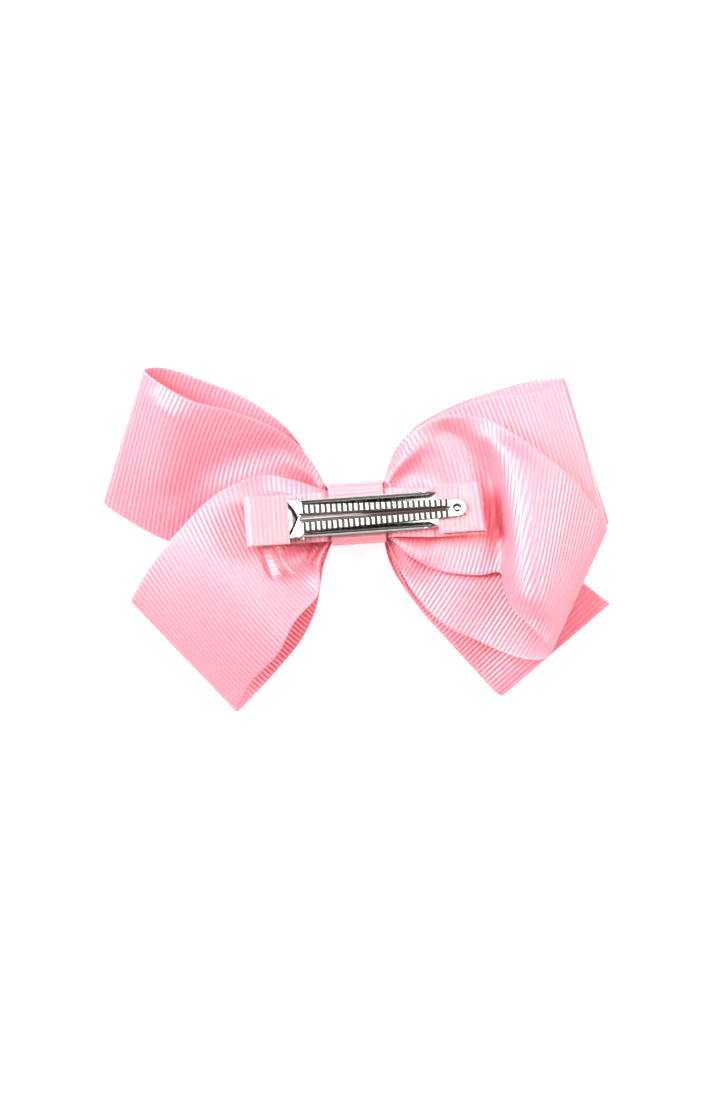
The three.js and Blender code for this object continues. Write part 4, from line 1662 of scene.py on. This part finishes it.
    @staticmethod
    def dip() -> float:
        """From the pin down to the band where it passes under the wrap."""
        pin_height = KNOT.lap_level + KNOT.narrow / 2 + GAP - CLIP.floor_under
        return pin_height - KNOT.band_level


# ---------------------------------------------------------------- trim


BINDING = ThreadStock(plies=3, ply_radius=0.115, lay=1.6)
LOOSE_THREAD = ThreadStock(plies=2, ply_radius=0.13, lay=3.0)
CUT_END = Fringe(reach=0.8, radius=0.045, spread=0.35, seed=3)
CUT_SIDE = Fringe(reach=0.55, radius=0.03, spread=0.3, seed=5)
TUFT = Fringe(reach=1.1, radius=0.05, spread=0.6, seed=8)


@dataclass(frozen=True)
class TrimSize:
    """Routes from the band's rear corner, and the binding's turns."""

    strip_route: Route = (
        (3.5, 0.8, 0.0), (3.9, -0.8, 0.1), (4.5, -3.4, -0.1), (5.3, -5.9, 0.0), (6.0, -7.6, 0.2),
    )
    strip_width: tuple[float, float] = (1.25, 2.0)
    strip_curl: float = 0.25
    fibres: int = 16
    strand_route: Route = (
        (6.3, 0.6, 0.0), (6.9, -1.0, 0.1), (7.3, -3.1, -0.4), (8.6, -5.6, -0.5), (10.1, -7.5, -0.7),
    )
    turns: int = 3
    pitch: float = 0.8
    corner: float = 1.4


TRIM = TrimSize()


class Trim:
    """What hangs from the band's rear corner, and the thread round the knot."""

    def __init__(self, clip: Clip, knot: Knot, ribbon: Material, thread: Material) -> None:
        """Builds the shred, the strand and the binding.

        Args:
            clip: The clip they hang from.
            knot: The knot that is bound.
            ribbon: The shred's material.
            thread: The thread's material.
        """
        self.clip = clip
        self.strip = self._strip(ribbon, thread)
        self.strand = self._strand(thread)
        self.binding = self._binding(knot, thread)

    @staticmethod
    def _from_corner(route: Route, count: int) -> Grid:
        """A smooth route from the band's rear corner.

        Args:
            route: Points about that corner.
            count: Number of points returned.

        Returns:
            (count, 3) points about the hinge pin.
        """
        line = catmull_rom(np.array(route), np.linspace(0, 1, count))
        corner = (-CLIP.arm_tab - 2 * GAP, -CLIP.band_width / 2, CLIP.floor_under - GAP - KNOT.narrow / 2)
        return line + np.array(corner)

    def _strip(self, ribbon: Material, thread: Material) -> Object:
        """A shred of the narrow ribbon, fringed where it was cut.

        Args:
            ribbon: Its material.
            thread: The fringe's material.

        Returns:
            The shred.
        """
        line = self._from_corner(TRIM.strip_route, 33)
        along = arc_lengths(line)
        share = (along / along[-1])[:, None]
        columns = SHRED.columns(5)
        first, last = TRIM.strip_width
        width = first + (last - first) * share
        grid = np.repeat(line[:, None], len(columns), axis=1)
        grid[..., 0] += (columns[None, :] - 0.5) * width
        grid[..., 2] += TRIM.strip_curl * np.sin(share * 3.0) * (columns[None, :] - 0.5)
        grid[-3:, :, 1] += (columns[None, :] - 0.4) * np.array([0.2, 0.4, 0.6])[:, None]
        placed = self.clip.placed(grid)
        body = woven_strip("frayed_shred", placed, SHRED, columns, along, ribbon)

        down = placed[-1, 2] - placed[-4, 2]
        down = down / np.linalg.norm(down)
        steps = np.linspace(0, len(columns) - 1, TRIM.fibres)
        end = np.column_stack([np.interp(steps, np.arange(len(columns)), axis) for axis in placed[-1].T])
        fringe = CUT_END.on("shred_end", end * MM, np.tile(down, (len(end), 1)), thread)
        sides = np.concatenate((placed[4::2, 0], placed[4::2, -1]))
        out = np.concatenate((placed[4::2, 0] - placed[4::2, 1], placed[4::2, -1] - placed[4::2, -2]))
        out = out / np.linalg.norm(out, axis=1, keepdims=True) * 0.5 + down
        fuzz = CUT_SIDE.on("shred_sides", sides * MM, out, thread)
        return joined("frayed_strip_ribbon", [body, fringe, fuzz])

    def _strand(self, thread: Material) -> Object:
        """Two plies that have come loose beside it, with a tuft at their root.

        Args:
            thread: Their material.

        Returns:
            The strand.
        """
        line = self.clip.placed(self._from_corner(TRIM.strand_route, 60)[:, None])[:, 0]
        body = LOOSE_THREAD.along("strand_plies", line * MM, thread)
        roots = np.repeat(line[6:22:2], 4, axis=0)
        spread = np.linspace(-1, 1, len(roots))
        aside, back, up = np.sin(spread * 9.0), -0.6 - 0.3 * np.cos(spread * 5.0), 0.25 + 0 * spread
        tuft = TUFT.on("strand_tuft", roots * MM, np.column_stack((aside, back, up)), thread)
        return joined("loose_strand_thread", [body, tuft])

    @staticmethod
    def _binding(knot: Knot, thread: Material) -> Object:
        """Three turns drawn tight round the knot's waist.

        Args:
            knot: The knot that is bound.
            thread: The thread's material.

        Returns:
            The binding.
        """
        radius = BINDING.ply_radius * 2
        pitch = KNOT.gathered_width / KNOT.legs
        y = (KNOT.gathered_width - pitch + KNOT.pressed * KNOT.layers) / 2 + radius
        z = KNOT.depth / 2 - KNOT.waist_depth + radius
        ring = rounded_route(((y, 0), (y, z), (-y, z), (-y, -z), (y, -z), (y, 0)), (TRIM.corner,) * 4, 0.5)
        lap = arc_lengths(ring)
        places = np.linspace(0, TRIM.turns, TRIM.turns * 90)
        around = [np.interp(places % 1 * lap[-1], lap, ring[:, k]) for k in range(2)]
        line = np.column_stack(((places - TRIM.turns / 2) * TRIM.pitch, *around))
        return BINDING.along("binding_thread_wound", knot.placed(line[:, None])[:, 0] * MM, thread)


# ---------------------------------------------------------------- stage


@dataclass(frozen=True)
class Softbox:
    """A square area light that faces the knot, in metres and watts."""

    name: str
    place: tuple[float, float, float]
    size: float
    power: float
    mirrored: bool = True

    def hang(self, knot: Vector) -> None:
        """Puts the light up.

        Args:
            knot: The point it faces and is placed from.
        """
        light = bpy.data.lights.new(self.name, "AREA")
        light.size = self.size
        light.energy = self.power
        lamp = bpy.data.objects.new(self.name, light)
        lamp.location = knot + Vector(self.place)
        lamp.rotation_mode = "QUATERNION"
        lamp.rotation_quaternion = (knot - lamp.location).to_track_quat("-Z", "Y")
        lamp.visible_glossy = self.mirrored
        lamp.visible_camera = False
        bpy.context.scene.collection.objects.link(lamp)


@dataclass(frozen=True)
class Studio:
    """Pale floor, soft light and the camera over the bow, in metres."""

    sky: tuple[tuple[float, float], ...] = (
        (0.0, 0.96), (0.14, 0.96), (0.26, 0.07), (0.93, 0.07), (0.985, 0.9), (1.0, 0.95),
    )
    lights: tuple[Softbox, ...] = (
        Softbox("left_softbox", (-0.58, 0.20, 0.57), 0.40, 10.8),
        Softbox("right_softbox", (0.58, 0.22, 0.57), 0.40, 5.9),
        Softbox("overhead_softbox", (0.0, 0.30, 0.93), 0.7, 2.3),
        Softbox("ceiling_fill", (-0.2, 0.6, 1.1), 1.8, 1.8, mirrored=False),
    )
    floor_half: float = 1.6
    floor_level: float = 0.42
    floor_glow: float = 0.8
    camera_place: tuple[float, float, float] = (0.00075, -0.00975, 0.80)
    frame_height: float = 0.276
    sensor: float = 36.0

    def build(self, knot: Vector) -> None:
        """Puts everything round the bow.

        Args:
            knot: The knot's centre.
        """
        self._world()
        self._floor()
        for light in self.lights:
            light.hang(knot)
        self._camera(knot)
        bpy.context.scene.view_settings.view_transform = "Standard"

    def _world(self) -> None:
        """A pale horizon, a dark studio above it and a pale ceiling, by height."""
        world = bpy.data.worlds.new("studio_sky")
        world.use_nodes = True
        bpy.context.scene.world = world
        world.node_tree.nodes.clear()
        tree = NodeBuilder(world.node_tree)
        apart = tree.add("ShaderNodeSeparateXYZ", {}, {0: tree.add("ShaderNodeTexCoord").outputs[0]})
        ramp = tree.add("ShaderNodeValToRGB", {}, {0: apart.outputs[2]})
        for position, _ in self.sky[1:-1]:
            ramp.color_ramp.elements.new(position)
        for element, (position, level) in zip(ramp.color_ramp.elements, self.sky):
            element.position = position
            element.color = (level, level, level, 1)
        glow = tree.add("ShaderNodeBackground", {}, {"Color": ramp.outputs[0], "Strength": 1.0})
        tree.add("ShaderNodeOutputWorld", {}, {"Surface": glow.outputs[0]})

    def _floor(self) -> None:
        """A plain white floor under the bow."""
        tree = NodeTree("white_floor")
        shader = tree.add("ShaderNodeBsdfPrincipled", {}, {
            "Base Color": (self.floor_level,) * 3 + (1,), "Roughness": 0.9,
            "Emission Color": (1, 1, 1, 1), "Emission Strength": self.floor_glow,
        })
        half = self.floor_half
        corners = np.array([(-half, -half, 0), (half, -half, 0), (half, half, 0), (-half, half, 0)], float)
        floor = mesh_object("floor", corners, [(0, 1, 2, 3)], tree.finish(shader))

    def _camera(self, knot: Vector) -> None:
        """Straight above, with the bow in the middle of a tall frame.

        Args:
            knot: The point it is placed from.
        """
        data = bpy.data.cameras.new("camera")
        data.sensor_width = self.sensor
        data.lens = self.sensor * self.camera_place[2] / self.frame_height
        camera = bpy.data.objects.new("camera", data)
        camera.location = knot + Vector(self.camera_place)
        bpy.context.scene.collection.objects.link(camera)
        bpy.context.scene.camera = camera


# ---------------------------------------------------------------- the bow


@dataclass(frozen=True)
class GlueDrop:
    """A pressed drop of glue, a little uneven round its rim."""

    turns: int = 48
    rings: int = 16
    share: float = 0.42
    half_width: float = 3.4

    def make(self, low: Vector, high: Vector, aim: Vector, finish: Material) -> Object:
        """The drop at the pad's height, on the clip's middle line.

        Args:
            low: The box's lowest corner.
            high: Its highest corner.
            aim: A point of the clip's middle line over the knot.
            finish: Its finish.

        Returns:
            The drop.
        """
        middle = (low + high) / 2
        middle.y = aim.y
        across = abs(min(high.y - aim.y, aim.y - low.y, self.half_width * MM))
        reach = Vector(((high.x - low.x) * self.share, across, (high.z - low.z) / 2))
        angles = np.linspace(0, math.tau, self.turns, endpoint=False)
        wobble = 1 + 0.06 * np.sin(3 * angles + 0.7) + 0.04 * np.sin(5 * angles)
        vertices = [tuple(middle + Vector((0, 0, -reach.z)))]
        for ring in range(1, self.rings):
            tilt = -math.pi / 2 + math.pi * ring / self.rings
            out = math.cos(tilt) ** 0.45
            for angle, grow in zip(angles, wobble):
                vertices.append((
                    middle.x + math.cos(angle) * reach.x * out * grow,
                    middle.y + math.sin(angle) * reach.y * out * grow,
                    middle.z + math.sin(tilt) * reach.z,
                ))
        vertices.append(tuple(middle + Vector((0, 0, reach.z))))
        return mesh_object("glue_drop", np.array(vertices), self._faces(len(vertices) - 1), finish)

    def _faces(self, last: int) -> list[tuple[int, ...]]:
        """Rings of quads between two fans.

        Args:
            last: The top vertex's number; the bottom one's is 0.

        Returns:
            Each face's vertex numbers.
        """
        faces = []
        end = 1 + (self.rings - 2) * self.turns
        for k in range(self.turns):
            n = (k + 1) % self.turns
            faces.append((0, 1 + n, 1 + k))
            for ring in range(self.rings - 2):
                a, b = 1 + ring * self.turns, 1 + (ring + 1) * self.turns
                faces.append((a + k, a + n, b + n, b + k))
            faces.append((last, end + k, end + n))
        return faces


def report(piece: Object) -> None:
    """Logs a finished piece."""
    LOG.info("%s: %d faces", piece.name, len(piece.data.polygons))


def add_loops(knot: Vector, tilt: float, wide: Material) -> None:
    """Builds the five loops.

    Args:
        knot: The knot's centre, in metres.
        tilt: Its turn about Z, in radians.
        wide: The wide ribbon's material.
    """
    loops = [RibbonLoop(plan, knot, tilt, wide) for plan in LOOPS]
    for loop in loops:
        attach(loop.object, "bow")
        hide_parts(loop.plan.node)
        report(loop.object)


def add_knot(knot: Vector, tilt: float, wide: Material, wrap: Material) -> Knot:
    """Builds the gathered layers and their wrap.

    Args:
        knot: The knot's centre, in metres.
        tilt: Its turn about Z, in radians.
        wide: The wide ribbon's material.
        wrap: The wrap's material.

    Returns:
        The knot.
    """
    middle = Knot(knot, tilt, wide, wrap)
    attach(middle.layers, "bow")
    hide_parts("gathered_knot")
    report(middle.layers)
    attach(middle.wrap, "bow")
    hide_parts("centre_wrap")
    report(middle.wrap)
    return middle


def add_clip(place: Matrix, nickel: Material, narrow: Material) -> Clip:
    """Builds the clip and its ribbon, which lies over the squeeze lever.

    Args:
        place: The hinge pin's frame, in metres.
        nickel: The plated steel.
        narrow: The narrow ribbon's material.

    Returns:
        The clip.
    """
    clip = Clip(place, nickel, narrow)
    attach(clip.arm, "bow")
    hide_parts("clip_arm")
    report(clip.arm)
    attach(clip.jaw, "jaw")
    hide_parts("clip_jaw")
    report(clip.jaw)
    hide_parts("clip_band")
    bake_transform(clip.band)
    return clip


def add_trim(clip: Clip, knot: Knot, shred: Material, thread: Material) -> None:
    """Builds the shred, the strand and the binding, and tells of the band's whole sheet.

    Args:
        clip: The clip.
        knot: The knot.
        shred: The shred's material.
        thread: The thread's material.
    """
    trim = Trim(clip, knot, shred, thread)
    for piece, node, slot in (
        (trim.strip, "frayed_strip", "narrow_ribbon"), (trim.strand, "loose_strand", "thread"),
        (trim.binding, "binding_thread", "thread"),
    ):
        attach(piece, "bow")
        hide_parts(node)
        report(piece)
    report(clip.band)


def add_small_parts(frame: dict, clip: Clip, spring: Material, glue: Material) -> None:
    """Gives the pin and the spring their steel, their meshes unchanged, and builds the glue.

    Args:
        frame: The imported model.
        clip: The clip over the glue.
        spring: The spring steel.
        glue: The glue's material.
    """
    for node in ("hinge_pin", "torsion_spring"):
        made = frame["nodes"][node]
        made.data.materials.clear()
        made.data.materials.append(spring)
        report(made)
    low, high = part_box("glue_pad")
    aim = clip.place @ Vector((KNOT.length * MM, 0, 0))
    pad = GlueDrop().make(low, high, aim, glue)
    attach(pad, "bow")
    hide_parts("glue_pad")
    report(pad)


def main() -> None:
    """Builds the scene in order: frame, finishes, loops, knot, clip, trim, studio."""
    logging.basicConfig(level=logging.INFO, format="%(message)s")
    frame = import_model()
    low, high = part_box("gathered_knot")
    knot = (low + high) / 2
    hinge = frame["joints"][0]
    axis = hinge["axis"]
    tilt = math.atan2(axis[0], -axis[1])
    pin = Vector(hinge["pos_m"])

    # Each grosgrain's first colour is a painted rib highlight, its second painted rib shade, its third a
    # random deeper tone.
    wide = GrosgrainFinish("pink_grosgrain_wide", "#fe9aa9", "#fc7e8f", "#fb7487", WIDE).make()
    narrow = GrosgrainFinish("pink_grosgrain_narrow", "#fea5b0", "#fc8995", "#fb7c8c", NARROW).make()
    wrap = GrosgrainFinish("pink_grosgrain_wrap", "#fea2ac", "#fd95a1", "#fb8795", WRAP).make()
    shred = GrosgrainFinish("pink_grosgrain_shred", "#feb0bc", "#fda0ae", "#fc94a3", SHRED).make()
    nickel = PlatedSteelFinish("nickel_plated_steel", "#e6e4e2", 0.09, 0.10).make()
    spring = PlatedSteelFinish("spring_steel", "#a9a8a6", 0.25, 0.15).make()
    thread = PlainFinish("polyester_thread", "#fcb0bf", "#ffd6df", 0.6, 0.4).make()
    glue = PlainFinish("hot_melt_glue", "#e2d9c8", "#f4efe6", 0.35, 1.5).make()

    add_loops(knot, tilt, wide)
    middle = add_knot(knot, tilt, wide, wrap)
    clip = add_clip(Matrix.Translation(pin) @ Matrix.Rotation(tilt, 4, "Z"), nickel, narrow)
    add_trim(clip, middle, shred, thread)
    add_small_parts(frame, clip, spring, glue)
    Studio().build(knot)


if __name__ == "__main__":
    main()
